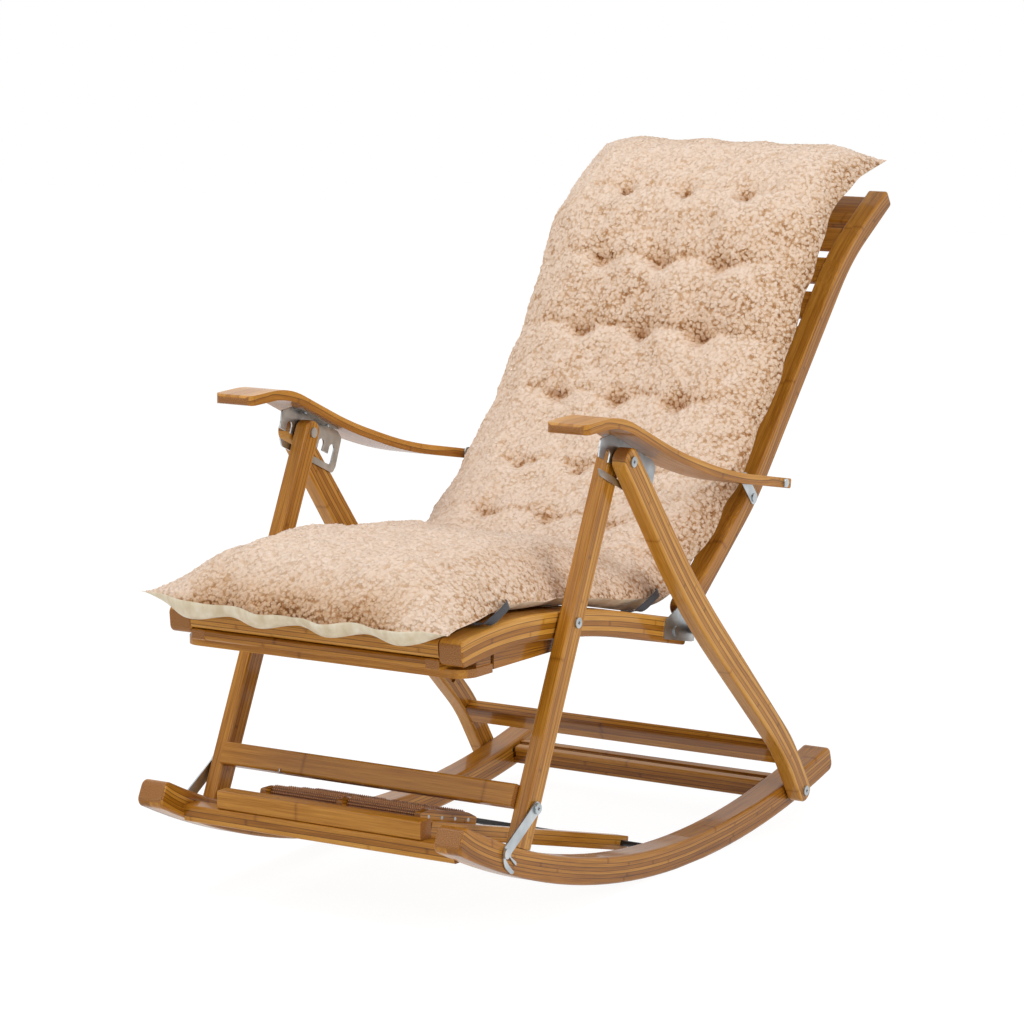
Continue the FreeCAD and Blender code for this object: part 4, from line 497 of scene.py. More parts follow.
# %% Zinc-plated and black steel
zinc, tree = new_material("zinc_plated_steel")
place = add(tree, "TexCoord").outputs["Object"]
spangle = add(tree, "TexNoise", {"Vector": place, "Scale": 260.0, "Detail": 3.0, "Roughness": 0.55})
rubbed = add(tree, "TexNoise", {"Vector": place, "Scale": 34.0, "Detail": 2.0})
tint = add(tree, "ValToRGB", [rubbed], stops=[(0.3, "#9DA3A7"), (0.55, "#BAC0C3"), (0.75, "#CDD1D2")])
bump = add(tree, "Bump", {"Strength": 0.2, "Distance": 0.0002, "Height": spangle})
cloudy = add(tree, "Math", [spangle, 0.22, 0.22], operation="MULTIPLY_ADD")
plated = add(tree, "BsdfPrincipled", {"Base Color": tint, "Metallic": 1.0, "Roughness": cloudy, "Normal": bump})
add(tree, "OutputMaterial", [plated])
black, tree = new_material("satin_black_painted_steel")
place = add(tree, "TexCoord").outputs["Object"]
peel = add(tree, "TexNoise", {"Vector": place, "Scale": 700.0, "Detail": 2.0})
tint = add(tree, "ValToRGB", [peel], stops=[(0.3, "#161618"), (0.7, "#26262A")])
bump = add(tree, "Bump", {"Strength": 0.25, "Distance": 0.0001, "Height": peel})
satin = add(tree, "Math", [peel, 0.15, 0.3], operation="MULTIPLY_ADD")
add(tree, "OutputMaterial", [add(tree, "BsdfPrincipled", {"Base Color": tint, "Roughness": satin, "Normal": bump})])
zinc_pairs = [part + side for part in ("arm_bracket", "hook_plate", "latch_link", "arm_link")
              for side in ("_right", "_left")]
dress(zinc, *zinc_pairs, "latch_studs", "latch_pivots", "rear_pivot_bolts", "top_bolts_outer", "top_bolts_inner",
      "seat_bolts", "back_pivot_pins", "arm_link_bolts", "roller_axles")
dress(black, "pedal_rod", "stay_rod")
print("steel parts dressed")

# %% [markdown]
# ## Massage rollers
# Each roller is turned from a light hardwood and cut into small pointed nubs: 33 rings along it and 16 nubs round it,
# which press into the soles of the feet. Its colour is darker in the grooves and paler on the tips. The frame's
# rollers have plain rings, so finer ones take their place. A roller is one closed loop drawn round the axle: along
# the outside, in at one end, back through the bore and out at the other end. Turning that loop gives a skin with no
# poles.

# %% Turn a nubbed roller
def loop_grid(points, name, values, attribute):
    """A closed skin from a grid of points that joins up with itself in both directions, with one stored value per
    point."""
    number = np.arange(values.size).reshape(values.shape)
    faces = squares(np.pad(number, ((0, 1), (0, 1)), mode="wrap"), flip=True)
    piece = new_piece(name, points.reshape(-1, 3).tolist(), faces.tolist())
    keep_values(piece, attribute, values)
    return piece


def nubbed_roller(node, rings=33, round_it=16, nub_height=3.0 * MM):
    """Radius = low + nub height * (0.5 + 0.5 cos(ring angle)) ** 0.8 * (0.5 + 0.5 cos(round angle)) ** 0.8,
    over the length and bore measured on the frame's own roller."""
    points = points_of(node)
    low_x, high_x = points[:, 0].min(), points[:, 0].max()
    centre = 0.5 * (points.min(0) + points.max(0))[1:]
    radii = np.hypot(*(points[:, 1:] - centre).T)
    outer, bore = radii.max(), radii.min()
    along = np.linspace(0, 1, rings * 5 + 1)
    angle = np.linspace(0, 2 * np.pi, round_it * 6, endpoint=False)
    ring = 0.5 - 0.5 * np.cos(2 * np.pi * rings * along)
    nub = ring[:, None] ** 0.8 * (0.5 + 0.5 * np.cos(round_it * angle))[None, :] ** 0.8
    outside = outer - nub_height + nub_height * nub
    inward = np.linspace(1, 0, 5)[1:-1]
    face = bore + (outer - nub_height - bore) * inward
    radius = np.vstack([outside, np.repeat(np.r_[face, bore, bore, face[::-1]][:, None], len(angle), 1)])
    x = np.r_[low_x + along * (high_x - low_x), np.full(3, high_x), high_x, low_x, np.full(3, low_x)]
    grid = np.stack([np.repeat(x[:, None], len(angle), 1), centre[0] + radius * np.cos(angle),
                     centre[1] + radius * np.sin(angle)], -1)
    return loop_grid(grid, "nubbed_" + node, np.vstack([nub, np.zeros((8, len(angle)))]), "nub")


turned_wood, tree = new_material("turned_stained_hardwood")
place = add(tree, "TexCoord")
nub = add(tree, "Attribute", attribute_name="nub").outputs["Fac"]
stretched = add(tree, "Mapping", {"Vector": place.outputs["Object"], "Scale": (90.0, 700.0, 700.0)})
pores = add(tree, "TexNoise", {"Vector": stretched, "Scale": 1.0, "Detail": 3.0})
level = add(tree, "Math", [pores, 0.4], operation="MULTIPLY")
level = add(tree, "Math", [nub, 0.72, level], operation="MULTIPLY_ADD", use_clamp=True)
tint = add(tree, "ValToRGB", [level], stops=[(0.1, "#4A250A"), (0.4, "#8A552A"), (0.7, "#B97E4A"), (1.0, "#E2B78C")])
bump = add(tree, "Bump", {"Strength": 0.3, "Distance": 0.0003, "Height": pores})
add(tree, "OutputMaterial", [add(tree, "BsdfPrincipled", {"Base Color": tint, "Roughness": 0.38, "Normal": bump,
                                                          "Coat Weight": 0.25, "Coat Roughness": 0.2})])
for side in ("right", "left"):
    for row in (1, 2, 3, 4):
        node = "roller_%s_%d" % (side, row)
        piece = nubbed_roller(node)
        piece.data.materials.append(turned_wood)
        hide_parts(node)
        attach(piece, node)
print("8 nubbed rollers,", len(piece.data.polygons), "faces each")

# %% [markdown]
# ## The cushion
# One long cushion runs from the front of the seat to above the back. It is two sheets sewn round the edge: curly
# fleece on top and cream cotton below, stuffed with fibre and pulled down by threads in rows of three. The fleece
# puffs up between the threads, and the corners, where little filling reaches, stay thin and stick out. It could be
# one inflated box, but then its edge would be round like a mattress. Two sheets that meet in a seam give the thin
# edge and the ears of a real one. First comes the line that its underside lies on: the top of the rails, seen from
# the side, rounded where the seat meets the back. Its places over the wood are measured on the frame, by lines that
# fall onto the rails. The places over the front rail, in the crease and over the head are given.

# %% The line under the cushion
seat_places = np.linspace(-500.7, -66.4, 12)
back_places = np.array([42.8, 151.2, 176.5, 200.0, 222.6, 404.0, 427.5, 453.8, 482.5, 512.2, 541.6])
over_front = [(-579.7, 382.1), (-539.9, 385.9)]
round_crease = [(-50.0, 341.0), (-30.0, 338.8), (-12.0, 342.4), (6.0, 350.0), (24.0, 360.6)]
over_head = [(571.0, 868.1), (583.0, 875.5)]
back_gap = 1.0


def top_of(name, places, gap=0.0):
    """(y, z) in mm for each y of places: where a line that falls through the middle of the part's width meets it,
    plus a gap."""
    points = points_of(name)
    skin = BVHTree.FromPolygons(points.tolist(),
                                [tuple(face.vertices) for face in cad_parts[name].data.polygons])
    middle = 0.5 * (points[:, 0].min() + points[:, 0].max())
    heights = [skin.ray_cast(Vector((middle, y * MM, 2.0)), Vector((0.0, 0.0, -1.0)))[0].z / MM for y in places]
    return np.c_[places, heights] + (0.0, gap)


def line_under(points, step=2.0, softness=11.0):
    """Points every step mm along a line, each averaged with its neighbours by a bell curve as wide as softness.
    Before that, both ends are carried straight on."""
    first, last = points[0] + (points[0] - points[1]) * 1.5, points[-1] + (points[-1] - points[-2]) * 5.0
    points = np.vstack([first, points, last])
    run = np.r_[0, np.cumsum(np.hypot(*np.diff(points, axis=0).T))]
    at = np.arange(0, run[-1], step)
    fine = np.c_[np.interp(at, run, points[:, 0]), np.interp(at, run, points[:, 1])]
    bell = np.exp(-0.5 * (np.arange(-20, 21) * step / softness) ** 2)
    bell /= bell.sum()
    smooth = np.c_[np.convolve(fine[:, 0], bell, "valid"), np.convolve(fine[:, 1], bell, "valid")]
    start = np.argmin(np.hypot(*(smooth - points[1]).T))
    stop = np.argmin(np.hypot(*(smooth - points[-2]).T))
    return smooth[start:stop + 1]


seat_tops, back_tops = top_of("seat_rail_right", seat_places), top_of("back_rail_right", back_places, back_gap)
under = line_under(np.vstack([over_front, seat_tops, round_crease, back_tops, over_head]))
under_run = np.r_[0, np.cumsum(np.hypot(*np.diff(under, axis=0).T))]
cushion_length = under_run[-1]
under_way = np.gradient(under, under_run, axis=0)
under_way /= np.hypot(*under_way.T)[:, None]
print("line under the cushion:", round(cushion_length), "mm")

# %% [markdown]
# Heights will be measured at right angles to this line. In the crease those directions would cross within the thick
# cushion, so the leaning directions used for heights turn more gently than the line itself.

# %% Directions for the heights
lean_softness, point_step, lean_points = 46.0, 2.0, 75
reach = np.arange(-lean_points, lean_points + 1)
bell = np.exp(-0.5 * (reach * point_step / lean_softness) ** 2)
ahead = np.clip(np.arange(len(under))[:, None] + reach[None, :], 0, len(under) - 1)
lean_way = (under_way[ahead] * bell[None, :, None]).sum(1)
lean_way /= np.hypot(*lean_way.T)[:, None]
turned_most = np.degrees(np.arccos(np.clip((lean_way * under_way).sum(1), -1, 1))).max()
print("heights lean away from the line by up to", round(turned_most), "degrees")

# %% [markdown]
# How full the cushion is changes along it: thick on the seat, thinner at the waist and fullest at the head, where it
# also stands a little off the curved rails. These numbers, like the rows of threads, were read off the photograph by
# casting lines from the camera. Smooth steps join them.

# %% Fullness, seam and rows of threads
half_width, shift_x = 225.5, -2.5
rows = np.array([150.0, 284.0, 414.0, 536.0, 652.0, 760.0, 896.0, 1006.0, 1114.0, 1219.0])
columns = np.array([-101.0, 0.0, 101.0])


def between(at, places, values):
    """Values joined between places by half a cosine wave, so that nothing kinks."""
    places, values = np.array(places, float), np.array(values, float)
    k = np.clip(np.searchsorted(places, at, side="right") - 1, 0, len(places) - 2)
    t = np.clip((at - places[k]) / (places[k + 1] - places[k]), 0, 1)
    return values[k] + (values[k + 1] - values[k]) * 0.5 * (1 - np.cos(np.pi * t))


def crown_height(s):
    return between(s, [0, 90, 300, 520, 640, 760, 900, 1000, 1110, 1230, 1378],
                   [76, 84, 87, 86, 78, 74, 68, 71, 84, 92, 88])


def seam_height(s):
    return between(s, [0, 140, 300, 420, 540, 640, 720, 820, 920, 1020, 1120, 1210, 1290, 1378],
                   [17, 16, 13, 13, 22, 24, 17, 20, 21, 25, 32, 42, 44, 36])


def head_lift(s):
    return between(s, [940, 1245], [0, 18])


print("crown at the seat's middle", crown_height(np.array([300.0])), "mm, at the head",
      crown_height(np.array([1230.0])), "mm")

# %% [markdown]
# The two sheets are one formula over a grid: how far along, s, and how far across, x. A sheet's height falls from the
# crown to the seam along a rounded curve towards every edge. The grid's steps are even along that curve, not along
# the floor, so that the steep edge gets as many points as the flat top.

# %% The cushion's two sheets
def rounded_fall(distance, reach, power, softness):
    """0 at an edge and 1 from reach inwards, along a rounded curve: (1 - (1 - distance / reach) ** power) **
    softness."""
    return (1 - np.clip(1 - distance / reach, 0, 1) ** power) ** softness


def even_steps(count, half, rise, edge):
    """Places from -half to half whose steps are even along a profile that is flat in the middle
    and falls by rise within edge of both ends."""
    x = np.sin(np.linspace(-0.5 * np.pi, 0.5 * np.pi, 4001)) * half
    h = rise * rounded_fall(half - np.abs(x), edge, 2.6, 0.55)
    run = np.r_[0, np.cumsum(np.hypot(np.diff(x), np.diff(h)))]
    return np.interp(np.linspace(0, run[-1], count), run, x)


def waves(seed, count, shortest, longest):
    """Random sine waves for soft unevenness: directions, lengths and phases, always the same for one seed."""
    chance = np.random.default_rng(seed)
    lengths = np.exp(chance.uniform(np.log(shortest), np.log(longest), count))
    turn = chance.uniform(0, 2 * np.pi, count)
    return (np.cos(turn) / lengths, np.sin(turn) / lengths, chance.uniform(0, 2 * np.pi, count),
            (lengths / longest) ** 0.7)


def uneven(s, x, seed, count=26, shortest=30.0, longest=160.0):
    """A sum of those waves at s, x, roughly between -1 and 1."""
    a, b, phase, size = waves(seed, count, shortest, longest)
    total = np.zeros(np.broadcast(s, x).shape)
    for k in range(count):
        total += size[k] * np.sin(2 * np.pi * (a[k] * s + b[k] * x) + phase[k])
    return total / (1.6 * np.sqrt((size ** 2).sum()))


profile_rise, profile_edge = 62.0, 95.0
row_dent, thread_pull, scallop_depth, scallop_length = 14.0, 17.0, 8.0, 104.0


def puffed_crown(s, x, across, share):
    """Height of the fleece before it falls to the edges. Between two rows of threads it puffs up by
    (1 - |t| ** 3) ** 0.5, where t runs from -1 to 1; the rows arch towards the head between their threads."""
    arch = 10.0 * np.abs(np.sin(np.pi * np.minimum(across, 151.0) / 101.0)) ** 0.8
    ends = np.r_[-70.0, rows, cushion_length + 90.0]
    k = np.clip(np.searchsorted(ends, s - arch) - 1, 0, len(ends) - 2)
    t = 2 * (s - arch - ends[k]) / (ends[k + 1] - ends[k]) - 1
    puff = (1 - np.clip(np.abs(t), 0, 1) ** 3) ** 0.5
    depth = row_dent * share * (1 - 0.75 * between(across, [108, 190], [0, 1]))
    return crown_height(s) + 3.0 * uneven(s, half_width * x, 3) + 3.0 - depth * (1 - puff)


def sheets(s_count, x_count):
    """Top and bottom sheet as grids: (s, sideways, top height, bottom height, s of the bottom) in mm. The top
    falls towards its edges along rounded curves; near a corner the two falls multiply. A thread pulls the top down
    by a pointed bell, longer towards the head, where the next puff lies over it. The bottom is the seam's height
    times what its own, steeper falls leave, and it sags in scallops over the front rail."""
    s_line = even_steps(s_count, 0.5 * cushion_length, profile_rise, profile_edge) + 0.5 * cushion_length
    x_line = even_steps(x_count, 1.0, profile_rise / half_width, profile_edge / half_width)
    s, x = np.meshgrid(s_line, x_line, indexing="ij")
    from_end = np.minimum(s, cushion_length - s)
    from_side = (1 - np.abs(x)) * half_width
    from_row = np.abs(s[..., None] - rows).min(-1)
    across = np.abs(x * half_width)
    # 9 mm wider at the corners, 3.5 mm narrower at a row of threads, 5 mm narrower along the sides, 2.6 mm uneven
    width = (half_width + 9.0 * np.exp(-from_end / 38.0) - 3.5 * np.exp(-(from_row / 20.0) ** 2)
             - 5.0 * (1 - np.exp(-from_end / 90.0)) + 2.6 * uneven(s, 0 * x, 11, shortest=60.0))
    on_seat = between(s, [420, 640], [1, 0])
    fall = (rounded_fall(from_side, 105.0 + 35.0 * on_seat, 2.3, 0.62 + 0.16 * on_seat)
            * rounded_fall(from_end, 105.0, 2.3, 0.66))
    # the seam is 3 mm uneven, 9 mm higher at the left front corner and 11 mm lower at the right head corner
    seam = (seam_height(s)
            + 3.0 * uneven(s, 300.0 * x, 5, shortest=50.0) * np.maximum(np.abs(x), np.exp(-from_end / 60.0)))
    seam = (seam + 9.0 * np.exp(-s / 60.0) * np.clip(-x, 0, 1)
            - 11.0 * np.exp(-(cushion_length - s) / 70.0) * np.clip(x, 0, 1))
    share = between(s, [110, 300, 560, 900, 1110, 1240], [0.5, 0.7, 0.9, 1.05, 1.05, 1.0])
    top = seam + (puffed_crown(s, x, across, share) - seam) * fall
    for row in rows:
        past = np.where(s > row, (s - row) / 1.9, (row - s) * 1.15)
        reach = np.hypot(past[..., None], across[..., None] - np.abs(columns[1:]))
        top -= share * (thread_pull * np.exp(-(reach / 13.0) ** 1.2)).sum(-1)
    rising = np.clip(1 - from_side / (22.0 + 1.4 * seam), 0, 1) ** 1.5
    wave = np.cos(2 * np.pi * (x * half_width - 0.5 * scallop_length) / scallop_length)
    scallop = (0.62 + 0.38 * wave) * np.exp(-((s - 17.0) / 13.0) ** 2) * (1 - x ** 8)
    bottom = seam * (1 - (1 - rising) * rounded_fall(from_end, 60.0, 3.2, 0.5)) - scallop_depth * scallop
    over = 5.0 * wave * np.exp(-from_end / 25.0) * np.sign(s - 0.5 * cushion_length)
    return s + over, x * width, top, bottom, s + over - 9.0 * scallop


coarse = sheets(185, 65)
print("coarse grid", coarse[0].shape, "heights", round(coarse[2].min(), 1), "to", round(coarse[2].max(), 1), "mm")

# %% [markdown]
# The grids are flat patterns so far. Placing them bends them along the line: each point goes out from the line at
# right angles by its height.

# %% Bend the sheets along the line
fleece_gap = 1.2


def along_line(s, values):
    """Two columns of values, given at the line's points, read off at s."""
    return (np.interp(s, under_run, values[:, k]) for k in (0, 1))


def placed(s, x, height):
    """(s, x, height) in mm to a point in metres: the line's point at s, plus the height along the leaning
    direction there. Beyond the ends the line goes straight on."""
    inside = np.clip(s, 0, cushion_length)
    way_y, way_z = along_line(inside, under_way)
    lean_y, lean_z = along_line(inside, lean_way)
    line_y, line_z = along_line(inside, under)
    rise = height + head_lift(inside) + fleece_gap
    y = line_y + (s - inside) * way_y - rise * lean_z
    z = line_z + (s - inside) * way_z + rise * lean_y
    return np.stack([x + shift_x, y, z], -1) * MM


def sewn(top, bottom):
    """One closed mesh from two grids that share their outer ring: the bottom's ring uses the top's points."""
    n, m = top.shape[:2]
    number = np.arange(n * m).reshape(n, m)
    below = number.copy()
    below[1:-1, 1:-1] = n * m + np.arange((n - 2) * (m - 2)).reshape(n - 2, m - 2)
    return (np.vstack([top.reshape(-1, 3), bottom[1:-1, 1:-1].reshape(-1, 3)]),
            np.vstack([squares(number), squares(below, flip=True)]))


top0, bottom0 = placed(coarse[0], coarse[1], coarse[2]), placed(coarse[4], coarse[1], coarse[3])
points, faces = sewn(top0, bottom0)
print("sewn shell:", len(points), "points,", len(faces), "faces")

# %% [markdown]
# Formulas make a tidy pillow; cloth does not behave so. Blender's cloth simulation now blows the fleece up a little
# while the threads, the seam and the underside are held, so the sheet finds its own folds round every thread. No
# point may move more than 6 mm, which keeps the cushion clear of the arms. The rest length is made 1 % longer than
# the sheet. Thin cloth would crumple; thick fleece does not, so the movement is softened over 18 mm. The creases
# between threads are held loosely. Gravity is off: the filling carries the cloth.

# %% Let the fleece find its folds
def inflate(points, faces, held, frames=20, pressure=4.0, most=6.0 * MM):
    """Runs the cloth on a copy and returns how far each point moved, by most at the furthest."""
    piece = new_piece("cloth_try", points.tolist(), faces.tolist(), smooth=False)
    group = piece.vertex_groups.new(name="held")
    for weight in np.unique(held[held > 0]):
        group.add(np.flatnonzero(held == weight).tolist(), float(weight), "REPLACE")
    cloth = piece.modifiers.new("cloth", "CLOTH")
    setup = cloth.settings
    setup.quality, setup.mass = 6, 0.25
    for name, stiffness in (("tension", 18.0), ("compression", 18.0), ("shear", 6.0), ("bending", 1.2)):
        setattr(setup, name + "_stiffness", stiffness)
    setup.use_pressure, setup.uniform_pressure_force = True, pressure
    setup.vertex_group_mass = "held"
    setup.shrink_min = -0.01
    setup.effector_weights.gravity = 0.0
    cloth.collision_settings.use_collision = False
    cloth.point_cache.frame_start, cloth.point_cache.frame_end = 1, frames
    for number in range(1, frames + 1):
        scene.frame_set(number)
    shown = piece.evaluated_get(bpy.context.evaluated_depsgraph_get()).to_mesh()
    moved = np.empty(len(points) * 3, np.float32)
    shown.vertices.foreach_get("co", moved)
    bpy.data.meshes.remove(piece.data)
    scene.frame_set(1)
    step = moved.reshape(-1, 3) - points
    size = np.linalg.norm(step, axis=1, keepdims=True)
    return step * np.minimum(1.0, most / np.maximum(size, 1e-9))


def softened(grid, radius):
    """Every value of a grid becomes the mean of its neighbours, weighted by a bell curve of the given radius in
    both directions."""
    for axis in (0, 1):
        k = np.arange(grid.shape[axis])
        bell = np.exp(-0.5 * ((k[:, None] - k[None, :]) / radius) ** 2)
        bell /= bell.sum(1, keepdims=True)
        grid = np.moveaxis(np.tensordot(bell, grid, (1, axis)), 0, axis)
    return grid


thread_reach, crease_reach, crease_hold, softening = 9.0, 7.0, 0.8, 2.2
n, m = top0.shape[:2]
held_top = np.zeros((n, m))
for row in rows:
    for column in columns:
        held_top[np.hypot(coarse[0] - row, coarse[1] - column) < thread_reach] = 1.0
    in_crease = (np.abs(coarse[0] - row - 6.0) < crease_reach) & (np.abs(coarse[1]) < 115.0)
    held_top[in_crease] = np.maximum(held_top, crease_hold)[in_crease]
for ring in (held_top[0], held_top[-1], held_top[:, 0], held_top[:, -1]):
    ring[:] = 1.0
held = np.r_[held_top.ravel(), np.ones((n - 2) * (m - 2))]
top1 = top0
step = inflate(points, faces, held)[:n * m].reshape(n, m, 3)
step = softened(step, softening) * (1 - held_top)[..., None] ** 2
top1 = top0 + step
print("cloth moved its points by up to", round(1000 * np.linalg.norm(step, axis=-1).max(), 1), "mm")
print("held points:", int((held_top == 1.0).sum()), "fully,", int((held_top == crease_hold).sum()), "partly")

# %% [markdown]
# The fleece's curls are 5 to 12 mm across, so the coarse grid is refined to steps of about 2.5 mm. Each new point is
# a smooth blend of the four nearest old ones in each direction.

# %% Refine the grids
def refine(count_old, count_new):
    """A matrix that turns count_old values into count_new, by the Catmull-Rom cubic through them."""
    at = np.linspace(0, count_old - 1, count_new)
    k = np.clip(np.floor(at).astype(int), 0, count_old - 2)
    t = at - k
    weights = (-0.5 * t + t ** 2 - 0.5 * t ** 3, 1 - 2.5 * t ** 2 + 1.5 * t ** 3, 0.5 * t + 2 * t ** 2 - 1.5 * t ** 3,
               -0.5 * t ** 2 + 0.5 * t ** 3)
    matrix = np.zeros((count_new, count_old))
    for offset, weight in zip((-1, 0, 1, 2), weights):
        np.add.at(matrix, (np.arange(count_new), np.clip(k + offset, 0, count_old - 1)), weight)
    return matrix


fine_n, fine_m = 590, 207
along_matrix, across_matrix = refine(n, fine_n), refine(m, fine_m)
top2 = np.einsum("ai,ijk,bj->abk", along_matrix, top1, across_matrix)
bottom2 = np.einsum("ai,ijk,bj->abk", along_matrix, bottom0, across_matrix)
flat_s, flat_x, level_top = (along_matrix @ coarse[k] @ across_matrix.T for k in (0, 1, 2))
print("fine grid", top2.shape, "step", round(1000 * np.linalg.norm(top2[1:] - top2[:-1], axis=-1).mean(), 2), "mm")

# %% [markdown]
# Curly fleece looks like a heap of small pebbles with dark gaps. A cell pattern gives that: scatter one point in
# every cube of a space grid, and for any place take the distances to the nearest and second nearest of them. Where
# the two are equal there is a gap, and where they differ most there is the top of a curl. The cells fill space and
# not the flat sheet, so a curl keeps its size on the steep walls of the dimples too. Two more numbers are kept for
# the colour, and both are painted shade. Where the fleece faces away from the top lamp, its colour is made browner
# and its gaps darker, and where it faces the lamp it stays pale. The further below the puffs a place lies, the
# browner it is painted.

# %% Curls
def curl_height(place, size, seed):
    """0 in the gaps and 1 on the curls: the second nearest distance minus the nearest, over scattered points in
    cubes of the given size, softened by a square root. A point's place in its cube comes from the fractions of
    large sines of the cube's three numbers."""
    p = place / size
    base = np.floor(p)
    nearest, second = np.full(p.shape[:-1], 9.0), np.full(p.shape[:-1], 9.0)
    for shift in np.stack(np.meshgrid([-1, 0, 1], [-1, 0, 1], [-1, 0, 1]), -1).reshape(-1, 3):
        c = base + shift
        mixed = np.stack([c @ np.array([127.1, 311.7, 74.7]), c @ np.array([269.5, 183.3, 246.1]),
                          c @ np.array([113.5, 271.9, 124.6])], -1) + seed
        chance = np.modf(np.abs(np.sin(mixed) * 43758.5453))[0]
        reach = np.linalg.norm(c + 0.08 + 0.84 * chance - p, axis=-1)
        second = np.minimum(second, np.maximum(reach, nearest))
        nearest = np.minimum(nearest, reach)
    return np.sqrt(np.clip(second - nearest, 0, 1))


small_curl, large_curl, curl_rise, wander = 7.2, 12.0, 4.8 * MM, 2.4
rest = top2 / MM + wander * np.stack([uneven(flat_s, flat_x, seed, 18, 9.0, 30.0) for seed in (21, 22, 23)], -1)
curl = 0.75 * curl_height(rest, small_curl, 3.0) + 0.25 * curl_height(rest, large_curl, 8.0)
out = np.cross(np.gradient(top2, axis=0), np.gradient(top2, axis=1))
out /= np.maximum(np.linalg.norm(out, axis=-1, keepdims=True), 1e-12)
forward_y, forward_z = along_line(flat_s, under_way)
upward = np.stack([0 * flat_s, -forward_z, forward_y], -1)
out *= np.sign((out * upward).sum(-1).mean())
from_ends, from_sides = (np.minimum(np.arange(count), np.arange(count)[::-1]) for count in (fine_n, fine_m))
amount = curl_rise * np.clip(np.minimum(from_ends[:, None], from_sides[None, :]) / 4.0, 0.0, 1.0)
# Painted shade: where the fleece faces away from the top lamp, its colour is made browner and its curl gaps darker.
lamp_way = np.array([-0.25, -0.15, 0.956])
hanging = np.clip((0.88 - out @ lamp_way) / 0.62, 0, 1)
# Painted shade in the creases and dimples: the further a place lies below the crown, the browner it is painted, less
# so towards the sides.
painted_crease_shade = np.clip((crown_height(flat_s) - 2.0 - level_top) / 32.0, 0, 1)
painted_crease_shade = painted_crease_shade * np.clip((half_width - 45.0 - np.abs(flat_x)) / 40.0, 0, 1)
top3 = top2 + out * ((curl - 0.5) * amount)[..., None]
print("curls from", round(float(curl.min()), 2), "to", round(float(curl.max()), 2), "hanging on average",
      round(float(hanging.mean()), 2))

# %% [markdown]
# The cushion crosses the chair's two folding joints, so it is cut into a seat half and a back half at the crease.
# The cut is a plane across the line. A hidden wall closes each half.

# %% Cut at the crease and build the halves
crease_s = 598.0
cut = int(np.argmin(np.abs(flat_s[:, fine_m // 2] - crease_s)))


def without_doubles(faces, kinds):
    """Drops repeated corners from faces, then faces with fewer than three corners, and their kinds with them."""
    faces = [list(dict.fromkeys(face)) for face in faces]
    kept = [k for k, face in enumerate(faces) if len(face) > 2]
    return [faces[k] for k in kept], [kinds[k] for k in kept]


def half_cushion(name, first, last):
    """The rows first to last of both sheets as one closed mesh, with a wall at the cut.
    The sheets share their points along the seam; material 0 is the fleece, and 1 the cotton and the wall."""
    part = slice(first, last + 1)
    top, bottom = top3[part], bottom2[part]
    number = np.arange(top[..., 0].size).reshape(top.shape[:2])
    below = number + number.size
    below[:, 0], below[:, -1] = number[:, 0], number[:, -1]
    end = 0 if first == 0 else -1
    below[end] = number[end]
    a, b = (number[-1], below[-1]) if first == 0 else (number[0][::-1], below[0][::-1])
    wall = np.stack([a[:-1], a[1:], b[1:], b[:-1]], -1)
    up, down = squares(number, flip=True), squares(below)
    kinds = [0] * len(up) + [1] * (len(down) + len(wall))
    faces, kinds = without_doubles(np.vstack([up, down, wall]).tolist(), kinds)
    used = np.unique(np.concatenate(faces))
    renumber = dict(zip(used.tolist(), range(len(used))))
    every = np.vstack([top.reshape(-1, 3), bottom.reshape(-1, 3)])[used]
    piece = new_piece(name, every.tolist(), [[renumber[corner] for corner in face] for face in faces])
    piece.data.polygons.foreach_set("material_index", kinds)
    for attribute, grid in (("curl", curl), ("hanging", hanging), ("painted_crease_shade", painted_crease_shade)):
        keep_values(piece, attribute, np.tile(grid[part].ravel(), 2)[used])
    piece.data.attributes.new("rest", "FLOAT_VECTOR", "POINT").data.foreach_set(
        "vector", every.ravel().astype(np.float32))
    flat = np.stack([flat_s[part], flat_x[part]], -1).reshape(-1, 2)
    lay_cloth_map(piece, np.tile(flat, (2, 1))[used] * MM)
    return piece


cushion_seat = half_cushion("cushion_seat", 0, cut)
cushion_back = half_cushion("cushion_back", cut, fine_n - 1)
print("seat half", len(cushion_seat.data.polygons), "faces, back half", len(cushion_back.data.polygons), "faces")

# %% [markdown]
# ## Fleece and cotton
# Curly polyester fleece is a knitted ground with looped pile that was tumbled into curls: quite matt, softly bright
# towards its edges because light strays in the pile. The gaps between curls are found where a place lies far from the
# middle of every cell of a cell pattern. Their orange-brown is painted shade, for the shadow within the pile, and
# the tops are a pale pinkish cream. The underside is plain woven cotton, cream, with threads about 0.4 mm apart,
# drawn here at 1 mm so that they show.

# %% Curly fleece
cell_scale, cell_shift, gap_from = 195.0, (0.005, 0.005, 0.005), 0.44
fleece, tree = new_material("curly_polyester_fleece")
rest_place = add(tree, "Attribute", attribute_name="rest").outputs["Vector"]
# Painted shade between the curls: the stored curl height makes the tops paler and the gaps browner.
painted_curl_shade = add(tree, "Attribute", attribute_name="curl").outputs["Fac"]
bend = add(tree, "TexNoise", {"Vector": rest_place, "Scale": 230.0, "Detail": 1.0}).outputs["Color"]
warped = add(tree, "VectorMath", [bend, cell_shift], operation="MULTIPLY")
warped = add(tree, "VectorMath", [warped, rest_place], operation="ADD")
spots = add(tree, "TexVoronoi", {"Vector": warped, "Scale": cell_scale, "Randomness": 1.0}, feature="F1")
spots = add(tree, "Math", [spots, gap_from], operation="SUBTRACT")
spots = add(tree, "Math", [spots, 3.0], operation="MULTIPLY", use_clamp=True)
broken = add(tree, "TexNoise", {"Vector": rest_place, "Scale": 95.0, "Detail": 1.0})
broken = add(tree, "Math", [broken, 0.36], operation="SUBTRACT")
broken = add(tree, "Math", [broken, 4.0], operation="MULTIPLY", use_clamp=True)
